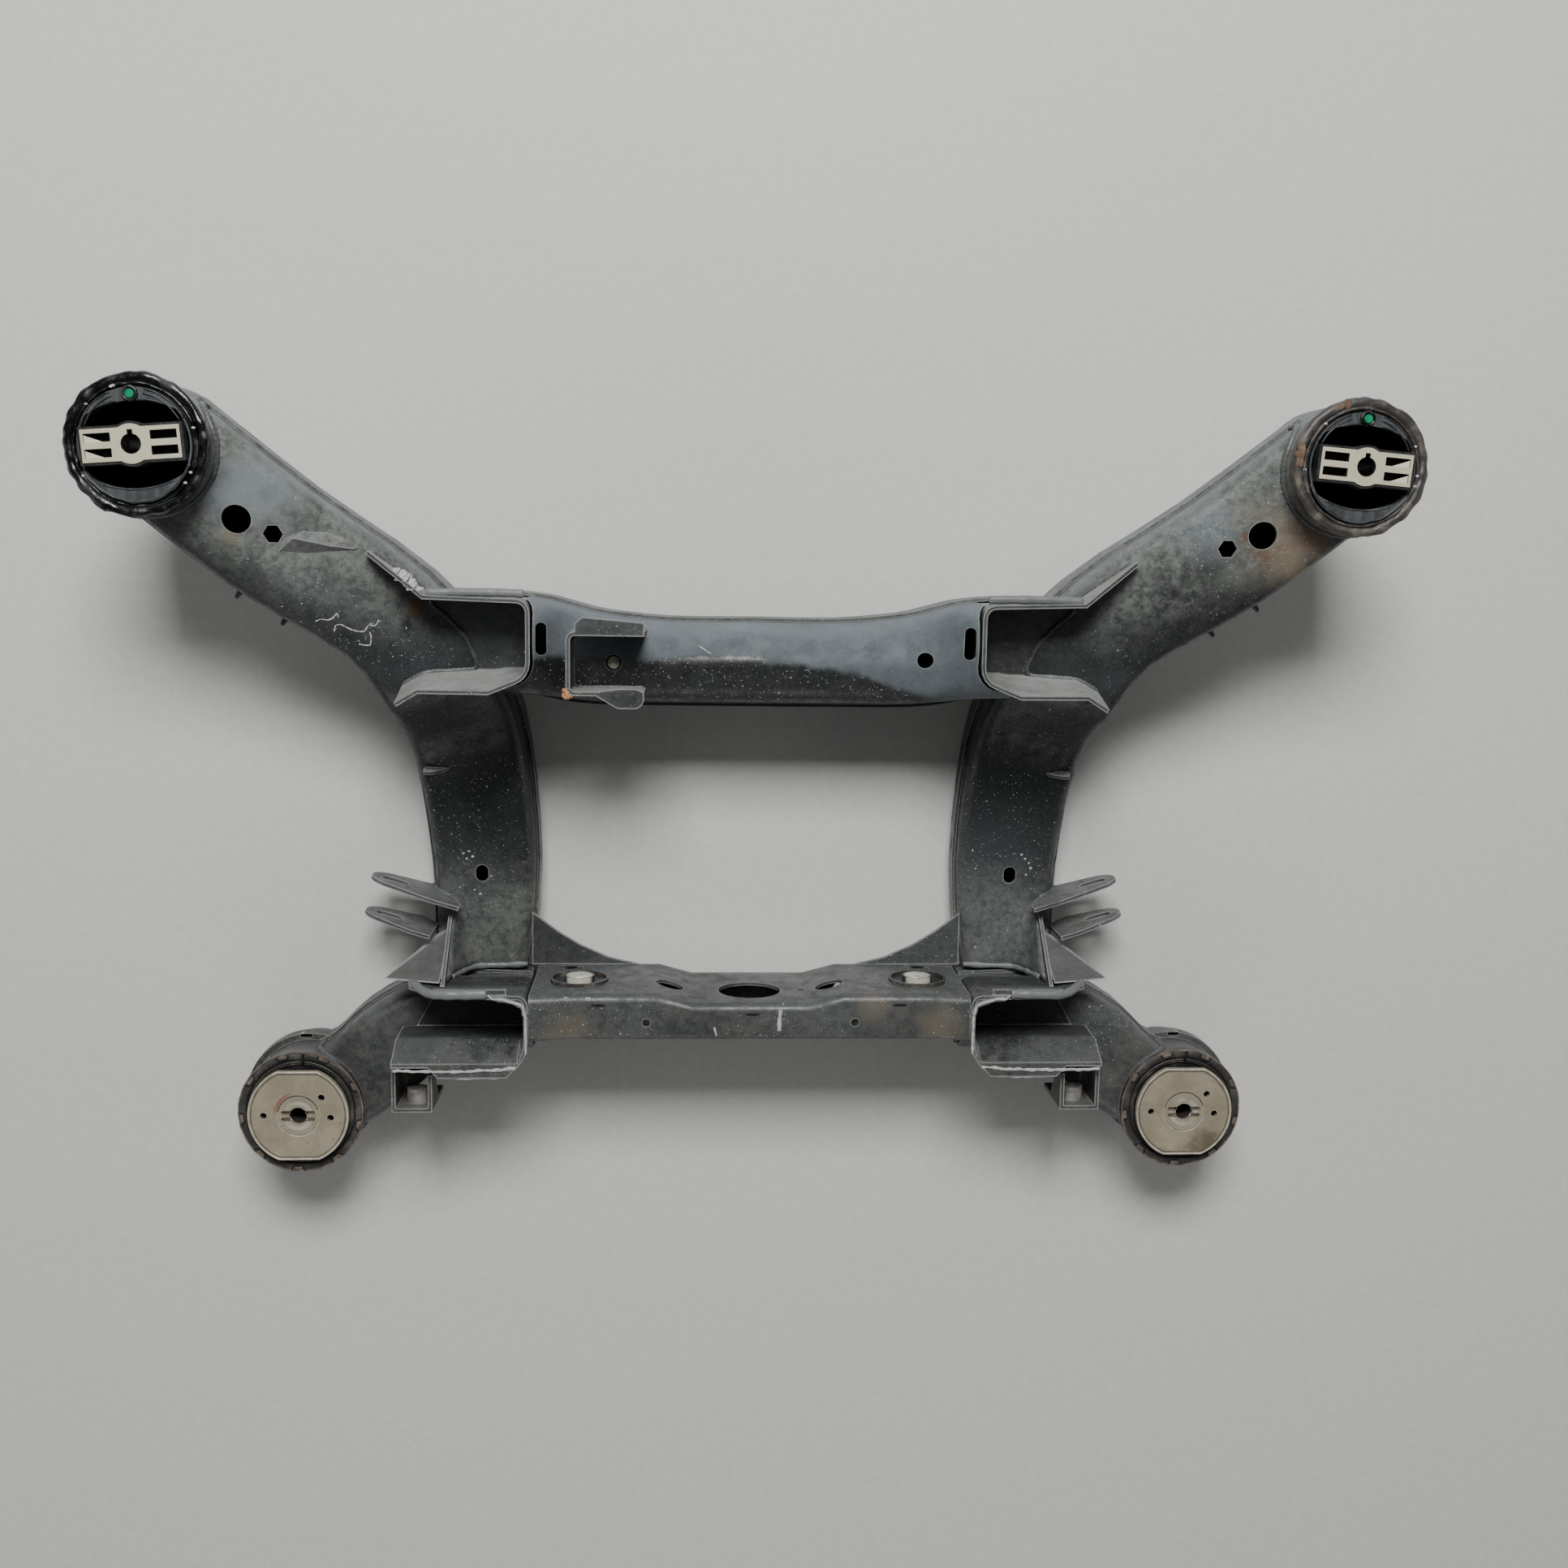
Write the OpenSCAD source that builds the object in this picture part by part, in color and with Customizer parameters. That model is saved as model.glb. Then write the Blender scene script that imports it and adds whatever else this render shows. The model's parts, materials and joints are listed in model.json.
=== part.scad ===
// Rear axle subframe of a car: pressed and welded steel members with rubber body mounts.
// It lies on its back. X runs across the car, Y towards the wide end, Z along the mount axes.
// Right-hand pieces are drawn at positive X and mirrored for the left.

/* [Layout] */
// Distance between the two wide-end mount axes
front_span = 938; // [910:1:960]
// Distance between the two narrow-end mount axes
rear_span = 776; // [760:1:792]
// Distance along Y between the two rows of mounts
mount_pitch = 559; // [545:1:575]
// Sheet thickness of the main pressings
sheet_t = 3; // [2.5:0.1:3.5]
// Sheet thickness of the brackets
bracket_t = 3.5; // [3:0.1:4]
// Gap left between welded pieces
weld_gap = 0.25; // [0.2:0.05:0.35]
// Overlap of the two half shells of a member
lap = 12; // [8:1:16]

/* [Side members] */
// Width of the long arm
arm_w = 98; // [92:1:102]
// Distance between the shoulders, where the arms bend
shoulder_span = 604; // [590:1:616]
// Y of the shoulders
shoulder_y = 152; // [146:1:158]
// Height of the shoulder's upper face
shoulder_z = 143; // [138:1:148]
// Distance between the leg centre lines
leg_span = 468; // [460:1:476]
// Width of the leg
leg_w = 90; // [86:1:94]
// Depth of the leg
leg_depth = 46; // [42:1:50]
// Outer bend radius of the side members
member_r = 13; // [10:1:16]
// Diameter of the round drain hole in the arm
drain_d = 22; // [16:1:24]
// Width across flats of the hexagonal hole in the arm
hex_af = 13; // [10:1:16]
// Width of the oval hole in the leg
leg_hole_w = 11; // [8:1:14]

/* [Front crossmember] */
// Y of the crossmember's middle
front_beam_y = 116; // [113:1:119]
// Width of the crossmember at its middle
front_beam_w = 68; // [62:1:72]
// Height of its upper face at the middle
front_beam_z = 138; // [132:1:144]
// Height of its back face
front_beam_back = 58; // [50:1:66]
// Bend radius of its upper edges
front_beam_r = 24; // [18:1:27]
// Diameter of the round hole in its face
front_beam_hole = 13; // [9:1:16]

/* [Upper link brackets] */
// Distance from the centre plane to the bracket's inner wall
upper_wall_x = 180; // [177:1:183]
// Height of the bracket's rim
upper_rim_z = 185; // [178:1:192]
// Height of the underside of the bracket's floor
upper_floor_z = 112; // [108:1:116]
// Y of the upper wall
upper_top_y = 168; // [165:1:171]
// Y of the lower wall at the floor
upper_low_y = 107; // [104:1:110]
// How far the lower wall leans out at the rim
tongue_lean = 15; // [10:1:18]
// Corner radius of the bracket
upper_corner_r = 11; // [8:1:14]

/* [Differential bracket] */
// Distance from the centre plane to the bracket's closed wall
diff_wall_x = 152; // [148:1:156]
// Length of the bracket across the car
diff_len = 62; // [54:1:68]
// Y of the bracket's lower wall
diff_low_y = 92; // [90:1:96]
// Width of the bracket along Y
diff_gap = 51; // [46:1:54]
// Corner radius of the bracket
diff_corner_r = 7; // [5:1:10]

/* [Rear crossmember] */
// Y of the differential wall
rear_wall_y = -162; // [-165:1:-159]
// Width of the front face
rear_beam_w = 40; // [36:1:44]
// How far the wall is set back in the middle
rear_set_back = 8; // [4:1:10]
// Height of the front face
rear_beam_z = 145; // [140:1:150]
// Height of the rims at the back
rear_beam_back = 39; // [35:1:43]
// Bend radius of the channel
rear_beam_r = 7; // [5:1:9]
// Distance between the two differential mounts
diff_span = 294; // [284:1:300]
// Height of the differential mounts
diff_z = 96; // [92:1:100]
// Diameter of the differential mount's sleeve
diff_sleeve_d = 50; // [46:1:54]
// Diameter of the large hole in the middle of the wall
centre_hole_d = 54; // [46:1:60]
// Diameter of the two holes beside it
side_hole_d = 24; // [18:1:28]

/* [Lower link brackets] */
// Clear space between the differential mount and the bracket's inner wall
lower_clear = 15; // [12:1:18]
// Height of the bracket's rim
lower_rim_z = 148; // [144:1:152]
// Height of the underside of the bracket's floor
lower_floor_z = 80; // [77:1:83]
// Y of the lower wall at the rim
lower_low_y = -224; // [-228:1:-221]
// How far the lower wall leans out from floor to rim
lower_lean = 15; // [10:1:18]
// Length of the bracket across the car
lower_len = 114; // [106:1:120]
// Corner radius of the bracket
lower_corner_r = 9; // [6:1:12]

/* [Toe link ears] */
// Distance from the centre plane to the ear tips
ear_tip_x = 331; // [324:1:338]
// Y of the front ear at its tip
ear_tip_y = -77; // [-82:1:-72]
// Distance between the two ears
ear_gap = 31; // [28:1:35]
// Radius of the ear's round tip
ear_r = 21; // [18:1:24]
// Width of the adjusting slot
ear_slot_w = 13; // [10:1:15]
// Length of the adjusting slot
ear_slot_len = 24; // [20:1:28]

/* [Anti-roll bar brackets] */
// Distance from the centre plane to the nut
bar_nut_x = 284; // [280:1:288]
// Outer diameter of the nut
bar_nut_d = 18; // [16:1:20]
// Bore of the nut
bar_nut_bore = 8.4; // [7:0.1:10]
// Length of the nut
bar_nut_len = 12; // [9:1:14]

/* [Mounts] */
// Outer diameter of the mount eyes
eye_od = 103; // [100:1:106]
// Wall of the mount eyes
eye_t = 5; // [4:0.5:6]
// Height of a mount eye
eye_h = 75; // [70:1:80]
// Underside of the wide-end eyes
front_eye_z = 130; // [124:1:136]
// Underside of the narrow-end eyes
rear_eye_z = 12; // [10:1:14]
// Wall of the bush shells
bush_t = 4; // [3:0.5:5]
// Diameter of the bush flanges
flange_d = 107; // [106:1:111]
// Rubber left between the ends of the wide-end core bar and its shell
core_gap = 6; // [5:0.5:8]
// Width of that core bar
core_w = 24.5; // [22:0.5:26]
// How far that core bar stands above the eye
core_rise = 20; // [16:1:24]
// Bolt bore through every mount
bolt_d = 15; // [13:0.5:17]
// Height of the narrow-end stop discs above the ground
disc_z = 105; // [102:1:110]
// Diameter of the stop discs
disc_d = 86; // [82:1:88]
// Distance between the flats of the stop discs
disc_flats = 79; // [74:1:81]
// Thickness of the stop discs
disc_t = 4; // [3:0.5:5]

/* [Hidden] */
$fn = 64;
arc_n = 4;
span_n = 3;
fit = 0.1;

front_x = front_span / 2;
rear_x = rear_span / 2;
front_y = mount_pitch / 2;
rear_y = -mount_pitch / 2;
shoulder_x = shoulder_span / 2;
leg_x = leg_span / 2;
lap_w = 2 * (sheet_t + weld_gap);
eye_id = eye_od - 2 * eye_t;
bush_od = eye_id - 2 * fit;
bush_id = bush_od - 2 * bush_t;
arm_drop = 4;
front_top = front_eye_z + eye_h;
rear_top = rear_eye_z + eye_h;
lower_wall_x = diff_span / 2 + diff_sleeve_d / 2 + lower_clear;

// How far the arm's face falls from the shoulder to the lower wall of the upper link bracket
pocket_fall = 18;

// Side member, from the wide eye to the foot: x, y, width, back height, upper height
side_line = [
  [front_x - 1.5, front_y + 2, arm_w * 0.99, front_eye_z + 8, front_top - 8],
  [(front_x + shoulder_x) / 2, (front_y + shoulder_y) / 2 - arm_drop, arm_w,
   front_eye_z * 0.785, (front_top - 8 + shoulder_z) / 2],
  [shoulder_x, shoulder_y, arm_w * 0.94, front_beam_back - 4, shoulder_z],
  [leg_x + leg_w * 0.32, upper_low_y - 11, leg_w * 1.055, front_beam_back * 0.28, shoulder_z - pocket_fall],
  [leg_x + leg_w * 0.12, front_beam_y * 0.3, leg_w * 1.055, 0, leg_depth * 1.48],
  [leg_x, rear_wall_y * 0.426, leg_w, 0, leg_depth],
  [leg_x + leg_w * 0.033, rear_wall_y + weld_gap, leg_w * 0.89, 0, leg_depth]];

// Front crossmember, from the centre to the bracket: x, y, width, upper height
front_half = [
  [0, front_beam_y, front_beam_w, front_beam_z],
  [upper_wall_x * 0.4, front_beam_y, front_beam_w, front_beam_z],
  [upper_wall_x * 0.72, front_beam_y + 3, front_beam_w + 5, front_beam_z + 2],
  [upper_wall_x * 0.88, front_beam_y + 8, front_beam_w + 8, front_beam_z + 16],
  [upper_wall_x, front_beam_y + 13, front_beam_w + 9, upper_rim_z - 3],
  [upper_wall_x + 24, front_beam_y + 15, front_beam_w + 10, upper_rim_z + 3]];
front_tail = [upper_wall_x * 1.44, front_beam_y + 15, front_beam_w + 10, upper_floor_z];

// Rear arm, from the narrow eye to the crossmember: x, y, width, back height, upper height
rear_end = lower_wall_x + bracket_t + weld_gap;
rear_reach = rear_x - rear_end;
rear_rise = 80;
rear_line = [
  [rear_x, rear_y, eye_od * 0.825, rear_eye_z + 2, rear_top - 2],
  [rear_x - rear_reach * 0.213, rear_y + rear_rise * 0.275, eye_od * 0.748, rear_eye_z, rear_top - 2],
  [rear_x - rear_reach * 0.385, rear_y + rear_rise * 0.638, eye_od * 0.777, rear_eye_z - 2,
   lower_floor_z + 5],
  [rear_x - rear_reach * 0.568, rear_y + rear_rise * 0.913, eye_od * 0.718, rear_eye_z - 2, lower_floor_z],
  [rear_x - rear_reach * 0.76, rear_y + rear_rise * 0.975, eye_od * 0.66, rear_eye_z - 2,
   lower_floor_z - weld_gap],
  [rear_end, rear_y + rear_rise, eye_od * 0.583, rear_eye_z - 2, lower_floor_z - weld_gap]];

// Curves and lofts

// Point on a smooth curve through a list of rows; s counts the rows
function smooth(p0, p1, p2, p3, t) =
  0.5 * (2 * p1 + (p2 - p0) * t + (2 * p0 - 5 * p1 + 4 * p2 - p3) * t * t
         + (3 * p1 - p0 - 3 * p2 + p3) * t * t * t);
function along(rows, s) =
  let (n = len(rows) - 1, i = min(n - 1, floor(s)))
  smooth(rows[max(0, i - 1)], rows[i], rows[i + 1], rows[min(n, i + 2)], s - i);
function sampled(rows, n) = [for (i = [0:n * (len(rows) - 1)]) along(rows, i / n)];
function reversed(rows) = [for (i = [len(rows) - 1:-1:0]) rows[i]];
function arc_points(x, y, r, a0, a1, n) =
  [for (i = [0:n]) let (a = a0 + (a1 - a0) * i / n) [x + r * cos(a), y + r * sin(a)]];

// Direction of travel at row i
function heading(rows, i) =
  let (a = rows[max(0, i - 1)], b = rows[min(len(rows) - 1, i + 1)])
  atan2(b[1] - a[1], b[0] - a[0]);

// Section of a pressed channel: rim, rounded edge, crowned face, rounded edge, rim
function channel_line(w, rim, face, r, crown) =
  let (s = face > rim ? 1 : -1, h = w / 2 - r, z = face - s * r)
  concat(
    [[-s * w / 2, rim]],
    [for (i = [0:arc_n]) let (a = 180 - 90 * i / arc_n) [s * (r * cos(a) - h), z + s * r * sin(a)]],
    [for (q = [-0.5, 0, 0.5]) [s * h * q, face + s * crown * (1 - q * q)]],
    [for (i = [0:arc_n]) let (a = 90 - 90 * i / arc_n) [s * (r * cos(a) + h), z + s * r * sin(a)]],
    [[s * w / 2, rim]]);

// A section placed across the path at row p
function placed(line, p, a) = [for (q = line) [p[0] - q[0] * sin(a), p[1] + q[0] * cos(a), q[1]]];

function side_faces(rows, m) =
  [for (i = [0:rows - 2]) for (k = [0:m - 1])
    let (a = i * m + k, b = i * m + (k + 1) % m, c = b + m, d = a + m)
    each [[a, b, c], [a, c, d]]];

// Open channel of even thickness; rows are x, y, width, rim height, face height
module channel(rows, t, r, crown) {
  n = 2 * arc_n + 7;
  m = 2 * n;
  last = (len(rows) - 1) * m;
  points = [for (i = [0:len(rows) - 1])
    let (p = rows[i], s = p[4] > p[3] ? 1 : -1,
         outer = channel_line(p[2], p[3], p[4], r, crown),
         inner = channel_line(p[2] - 2 * t, p[3], p[4] - s * t, r - t, crown))
    each placed(concat(outer, reversed(inner)), p, heading(rows, i))];
  start = [for (k = [0:n - 2]) each [[m - 1 - k, m - 2 - k, k + 1], [m - 1 - k, k + 1, k]]];
  end = [for (k = [0:n - 2]) each [[last + k, last + k + 1, last + m - 2 - k],
                                   [last + k, last + m - 2 - k, last + m - 1 - k]]];
  polyhedron(points, concat(start, side_faces(len(rows), m), end), convexity = 8);
}

// Solid with the outline of such a channel, used to trim what is welded to it
module solid_channel(rows, r, crown) {
  m = 2 * arc_n + 7;
  last = (len(rows) - 1) * m;
  points = [for (i = [0:len(rows) - 1])
    each placed(channel_line(rows[i][2], rows[i][3], rows[i][4], r, crown), rows[i], heading(rows, i))];
  start = [[for (k = [m - 1:-1:0]) k]];
  end = [[for (k = [0:m - 1]) last + k]];
  polyhedron(points, concat(start, side_faces(len(rows), m), end), convexity = 6);
}

// Bent strip that stands on edge; rows are x, y and the strip's levels, each a shift and a height
module strip(rows, t) {
  n = len(rows[0][2]);
  m = 2 * n;
  last = (len(rows) - 1) * m;
  points = [for (i = [0:len(rows) - 1])
    let (p = rows[i], a = heading(rows, i), ux = -t * sin(a), uy = t * cos(a))
    each concat(
      [for (q = p[2]) [p[0] + q[0], p[1] + q[1], q[2]]],
      [for (q = reversed(p[2])) [p[0] + q[0] + ux, p[1] + q[1] + uy, q[2]]])];
  start = [for (k = [0:n - 2]) each [[m - 1 - k, m - 2 - k, k + 1], [m - 1 - k, k + 1, k]]];
  end = [for (k = [0:n - 2]) each [[last + k, last + k + 1, last + m - 2 - k],
                                   [last + k, last + m - 2 - k, last + m - 1 - k]]];
  polyhedron(points, concat(start, side_faces(len(rows), m), end), convexity = 8);
}

// Space that such a strip encloses, drawn on above and below it; its rows turn one way
module strip_space(rows, g, more) {
  turned = reversed(rows);
  m = len(turned);
  levels = turned[0][2];
  rings = [for (k = [-1:len(levels)]) let (j = max(0, min(len(levels) - 1, k)))
    for (i = [0:m - 1])
      let (p = turned[i], q = p[2][j], a = heading(turned, i),
           z = q[2] + (k == -1 ? -more : k == len(levels) ? more : 0))
      [p[0] + q[0] - g * sin(a), p[1] + q[1] + g * cos(a), z]];
  last = (len(levels) + 1) * m;
  polyhedron(rings, concat([[for (k = [m - 1:-1:0]) k]], side_faces(len(levels) + 2, m),
                           [[for (k = [0:m - 1]) last + k]]), convexity = 4);
}

// Flat plate through corners listed clockwise from above, t below them
module corner_plate(corners, t) {
  m = len(corners);
  points = concat([for (p = corners) p - [0, 0, t]], corners);
  polyhedron(points, concat([[for (k = [m - 1:-1:0]) k]], side_faces(2, m), [[for (k = [0:m - 1]) m + k]]));
}

module left() {
  mirror([1, 0, 0]) children();
}

// Plate standing across X, drawn in Y and Z
module plate_across_x(x, t) {
  translate([x, 0, 0]) rotate([90, 0, 90]) linear_extrude(t) children();
}

module slot(len, w) {
  for (s = [-1, 1]) translate([s * (len - w) / 2, 0]) circle(d = w);
  square([len - w, w], center = true);
}

// Side members

seam_share = 0.45;
side_rows = [for (p = sampled(side_line, span_n)) [p[0], p[1], p[2], max(0, p[3]), p[4]]];
function seam(p) = p[3] + seam_share * (p[4] - p[3]);
side_upper_rows = [for (p = side_rows) [p[0], p[1], p[2], seam(p) - lap / 2, p[4]]];
side_back_rows = [for (p = side_rows) [p[0], p[1], p[2] + lap_w, seam(p) + lap / 2, p[3]]];
side_crown = 2;

module front_eye_space() {
  translate([front_x, front_y, front_eye_z - eye_h])
    cylinder(d = eye_od + 2 * weld_gap, h = 3 * eye_h);
}

module rear_eye_space() {
  translate([rear_x, rear_y, rear_eye_z - eye_h])
    cylinder(d = eye_od + 2 * weld_gap, h = 3 * eye_h);
}

// Space that a side member takes up
module side_member_space() {
  g = 2 * weld_gap;
  solid_channel([for (p = side_rows) [p[0], p[1], p[2] + g, p[3] - 1, p[4] + weld_gap]],
                member_r, side_crown);
  solid_channel([for (p = side_back_rows) [p[0], p[1], p[2] + g, p[4] - 2, p[3] + weld_gap]],
                weld_gap, 0);
}

drain = along(side_line, 0.72);
hexagon = along(side_line, 1.05);
leg_hole = along(side_line, 5.05);

module side_member_upper_shell() {
  color("#34373a") difference() {
    channel(side_upper_rows, sheet_t, member_r, side_crown);
    front_eye_space();
    translate([drain[0] - 4.5, drain[1] - 6, seam(drain)]) cylinder(d = drain_d, h = eye_h);
    translate([hexagon[0] - 1, hexagon[1] + 7, seam(hexagon)])
      cylinder(d = hex_af / cos(30), h = eye_h, $fn = 6);
    translate([leg_hole[0] + 2, leg_hole[1] - 3, seam(leg_hole)]) linear_extrude(leg_depth)
      rotate(90) slot(leg_hole_w * 1.35, leg_hole_w);
  }
}

module side_member_back_shell() {
  color("#2c2f31") difference() {
    channel(side_back_rows, sheet_t, member_r, 0);
    front_eye_space();
  }
}

stud_r = 3;
stud_h = 7;

module clip_stud(s) {
  p = along(side_line, s);
  q = along(side_line, s + 0.05);
  a = atan2(q[1] - p[1], q[0] - p[0]);
  translate([p[0], p[1], seam(p) + lap + 4]) rotate([0, 90, a + 90])
    translate([0, 0, p[2] / 2 + weld_gap]) cylinder(r1 = stud_r, r2 = stud_r / 2, h = stud_h);
}

module clip_studs() {
  color("#2a2c2e") for (s = [1.03, 1.36]) {
    clip_stud(s);
    left() clip_stud(s);
  }
}

tab_len = 34;
tab_high = 17;
tab_sunk = 8;
tab_lean = 35;

module leg_tab() {
  p = along(side_line, 4.15);
  color("#5a5d5e") difference() {
    translate([p[0] + p[2] / 2 - tab_len - 7, p[1] + 4, p[4] - tab_sunk]) rotate([tab_lean, 0, 0])
      rotate([90, 0, 0]) linear_extrude(bracket_t)
        polygon([[0, 0], [tab_len, 0], [tab_len, tab_high], [tab_len * 0.8, tab_high], [0, tab_sunk + 1]]);
    side_member_space();
  }
}

// Front crossmember

front_crown = 3;
front_rows_half = sampled(front_half, span_n);
front_rows = concat(
  [for (p = reversed(front_rows_half)) [-p[0], p[1], p[2], p[3]]],
  [for (i = [1:len(front_rows_half) - 1]) front_rows_half[i]]);
front_rim = upper_floor_z - weld_gap;
front_upper_rows = [for (p = front_rows) [p[0], p[1], p[2], front_rim - lap, p[3]]];
front_back_rows = concat(
  [[-front_tail[0], front_tail[1], front_tail[2] + lap_w, front_rim, front_beam_back]],
  [for (p = front_rows) [p[0], p[1], p[2] + lap_w, front_rim, front_beam_back]],
  [[front_tail[0], front_tail[1], front_tail[2] + lap_w, front_rim, front_beam_back]]);
oval_x = upper_wall_x - 8;
oval_len = 26;
oval_w = 8;
face_hole_x = 140;

module front_crossmember_space() {
  g = 2 * weld_gap;
  solid_channel([for (p = front_upper_rows) [p[0], p[1], p[2] + g, p[3], p[4] + weld_gap]],
                front_beam_r, front_crown);
}

module front_crossmember_upper_shell() {
  color("#3a3e41") difference() {
    channel(front_upper_rows, sheet_t, front_beam_r, front_crown);
    for (s = [-1, 1]) translate([s * oval_x, front_beam_y + front_beam_w * 0.3, front_rim])
      linear_extrude(upper_rim_z) rotate(90) slot(oval_len, oval_w);
    translate([face_hole_x, front_beam_y + 5, front_rim]) cylinder(d = front_beam_hole, h = upper_rim_z);
    translate([-diff_wall_x + diff_len * 0.58, front_beam_y, front_rim])
      cylinder(d = front_beam_hole, h = upper_rim_z);
    upper_link_bracket_space();
    left() upper_link_bracket_space();
  }
}

module front_crossmember_back_shell() {
  color("#2c2f31") difference() {
    channel(front_back_rows, sheet_t, member_r, 0);
    side_member_space();
    left() side_member_space();
  }
}

// Upper link brackets

wing_rise = 52;
bend_in = 39;
wing_x = shoulder_x + 7;
wing_y = shoulder_y + wing_rise;
wing_z = shoulder_z + wing_rise * 0.37;
bend_x = shoulder_x - bend_in;
tongue_x = shoulder_x - bend_in * 0.85;
tongue_end_x = shoulder_x - bend_in * 0.38;

function upright(x, y, low, high, lean) =
  [x, y, [[0, 0, low], [0, lean / 2, (low + high) / 2], [0, lean, high]]];

upper_bend_rows = concat(
  [for (p = arc_points(upper_wall_x + upper_corner_r, upper_top_y - upper_corner_r, upper_corner_r,
                       90, 180, arc_n))
    upright(p[0], p[1], upper_floor_z, upper_rim_z, 0)],
  [for (i = [0:arc_n])
    let (a = 180 + 90 * i / arc_n)
    upright(upper_wall_x + upper_corner_r * (1 + cos(a)), upper_low_y + upper_corner_r * (1 + sin(a)),
            upper_floor_z, upper_rim_z, -tongue_lean * 0.4 * i / arc_n)],
  [upright(upper_wall_x + 3 * upper_corner_r, upper_low_y, upper_floor_z, upper_rim_z, -tongue_lean)]);

module upper_link_bracket_space() {
  strip_space(concat(
    [upright(bend_x, upper_top_y + 2, upper_floor_z, upper_rim_z, 0)], upper_bend_rows,
    [upright(tongue_x, upper_low_y, upper_floor_z, upper_rim_z, -tongue_lean)]), 8 * weld_gap, 2 * lap);
}

// Height of the bracket's floor, level with the arm's face beside it
pocket_drop = 2;
function pocket_z(y) =
  shoulder_z - pocket_drop - pocket_fall * (upper_top_y - y) / (upper_top_y - upper_low_y);
function pocket_corner(x, y) = [x, y, pocket_z(y)];

module upper_link_bracket() {
  low = upper_floor_z;
  lean_y = upper_low_y - tongue_lean * (pocket_z(upper_low_y) - low) / (upper_rim_z - low);
  rows = concat(
    [upright(wing_x, wing_y, low, wing_z, 0),
     upright(bend_x, upper_top_y + 2, low, upper_rim_z - 1, 0)],
    upper_bend_rows,
    [upright(tongue_x, upper_low_y, low, upper_rim_z - 5, -tongue_lean),
     upright(tongue_end_x, upper_low_y - 9, low, upper_rim_z - 13, -tongue_lean - 2)]);
  color("#46494b") difference() {
    union() {
      strip(rows, bracket_t);
      corner_plate([
        pocket_corner(upper_wall_x + 1, upper_low_y + upper_corner_r),
        pocket_corner(upper_wall_x + 1, upper_top_y - upper_corner_r),
        pocket_corner(upper_wall_x + upper_corner_r, upper_top_y - 1), pocket_corner(bend_x, upper_top_y - 1),
        pocket_corner(leg_x + leg_w / 3, lean_y + 1),
        pocket_corner(upper_wall_x + 3 * upper_corner_r, lean_y + 1),
        pocket_corner(upper_wall_x + upper_corner_r, upper_low_y)], bracket_t);
    }
    side_member_space();
  }
}

// Differential bracket, left of the centre only

diff_tongue_w = 38;
diff_tongue_len = 10;

module differential_bracket() {
  r = diff_corner_r;
  x0 = -diff_wall_x;
  y0 = diff_low_y;
  y1 = diff_low_y + diff_gap;
  x1 = x0 + diff_len;
  top = upper_rim_z;
  rows = concat(
    [upright(x1, y1, front_rim, top, 0)],
    [for (p = arc_points(x0 + r, y1 - r, r, 90, 180, arc_n)) upright(p[0], p[1], front_rim, top, 0)],
    [for (p = arc_points(x0 + r, y0 + r, r, 180, 270, arc_n)) upright(p[0], p[1], front_rim, top, 0)],
    [upright(x1, y0, front_rim, top, 0)]);
  color("#46494b") difference() {
    union() {
      strip(rows, bracket_t);
      translate([x1 - diff_tongue_w, y0 - diff_tongue_len, top - bracket_t])
        linear_extrude(bracket_t) hull() {
          translate([diff_tongue_w / 2, 8]) circle(d = 16);
          translate([diff_tongue_w - 8, 8]) circle(d = 16);
          translate([0, diff_tongue_len]) square([diff_tongue_w, bracket_t]);
        }
      translate([x0 + r, y1 - bracket_t, top - bracket_t]) linear_extrude(bracket_t)
        polygon([[0, 0], [diff_len - r, 0], [diff_len - r, 11], [6, 15], [0, 10]]);
    }
    front_crossmember_space();
  }
}

// Rear crossmember

rear_flare = 3;
flare_len = 34;
rear_end_x = lower_wall_x - weld_gap;
function rear_row(x, step, flare) =
  [x, rear_wall_y - step / 2 - rear_beam_w / 2 - flare / 2, rear_beam_w - step, rear_beam_back,
   rear_beam_z];
set_back_x = diff_span * 0.17;
set_back_end_x = diff_span * 0.27;
side_hole_x = diff_span * 0.235;
small_hole_x = diff_span * 0.3;
small_hole_d = 7;
wall_slot_len = 18;
wall_slot_w = 9;
plate_slot_len = 44;
plate_slot_w = 16;
hole_depth = rear_beam_w * 0.6;
rear_half = [rear_row(set_back_x, rear_set_back, 0), rear_row(set_back_end_x, 0, 0),
             rear_row(rear_end_x - flare_len, 0, 0),
             rear_row(rear_end_x - 6, 0, rear_flare), rear_row(rear_end_x, 0, rear_flare)];
rear_rows = concat([for (p = reversed(rear_half)) [-p[0], p[1], p[2], p[3], p[4]]], rear_half);

// Hole through the differential wall, along Y
module wall_hole(x, z, depth) {
  translate([x, rear_wall_y + 10, z]) rotate([90, 0, 0]) linear_extrude(depth) children();
}

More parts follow.
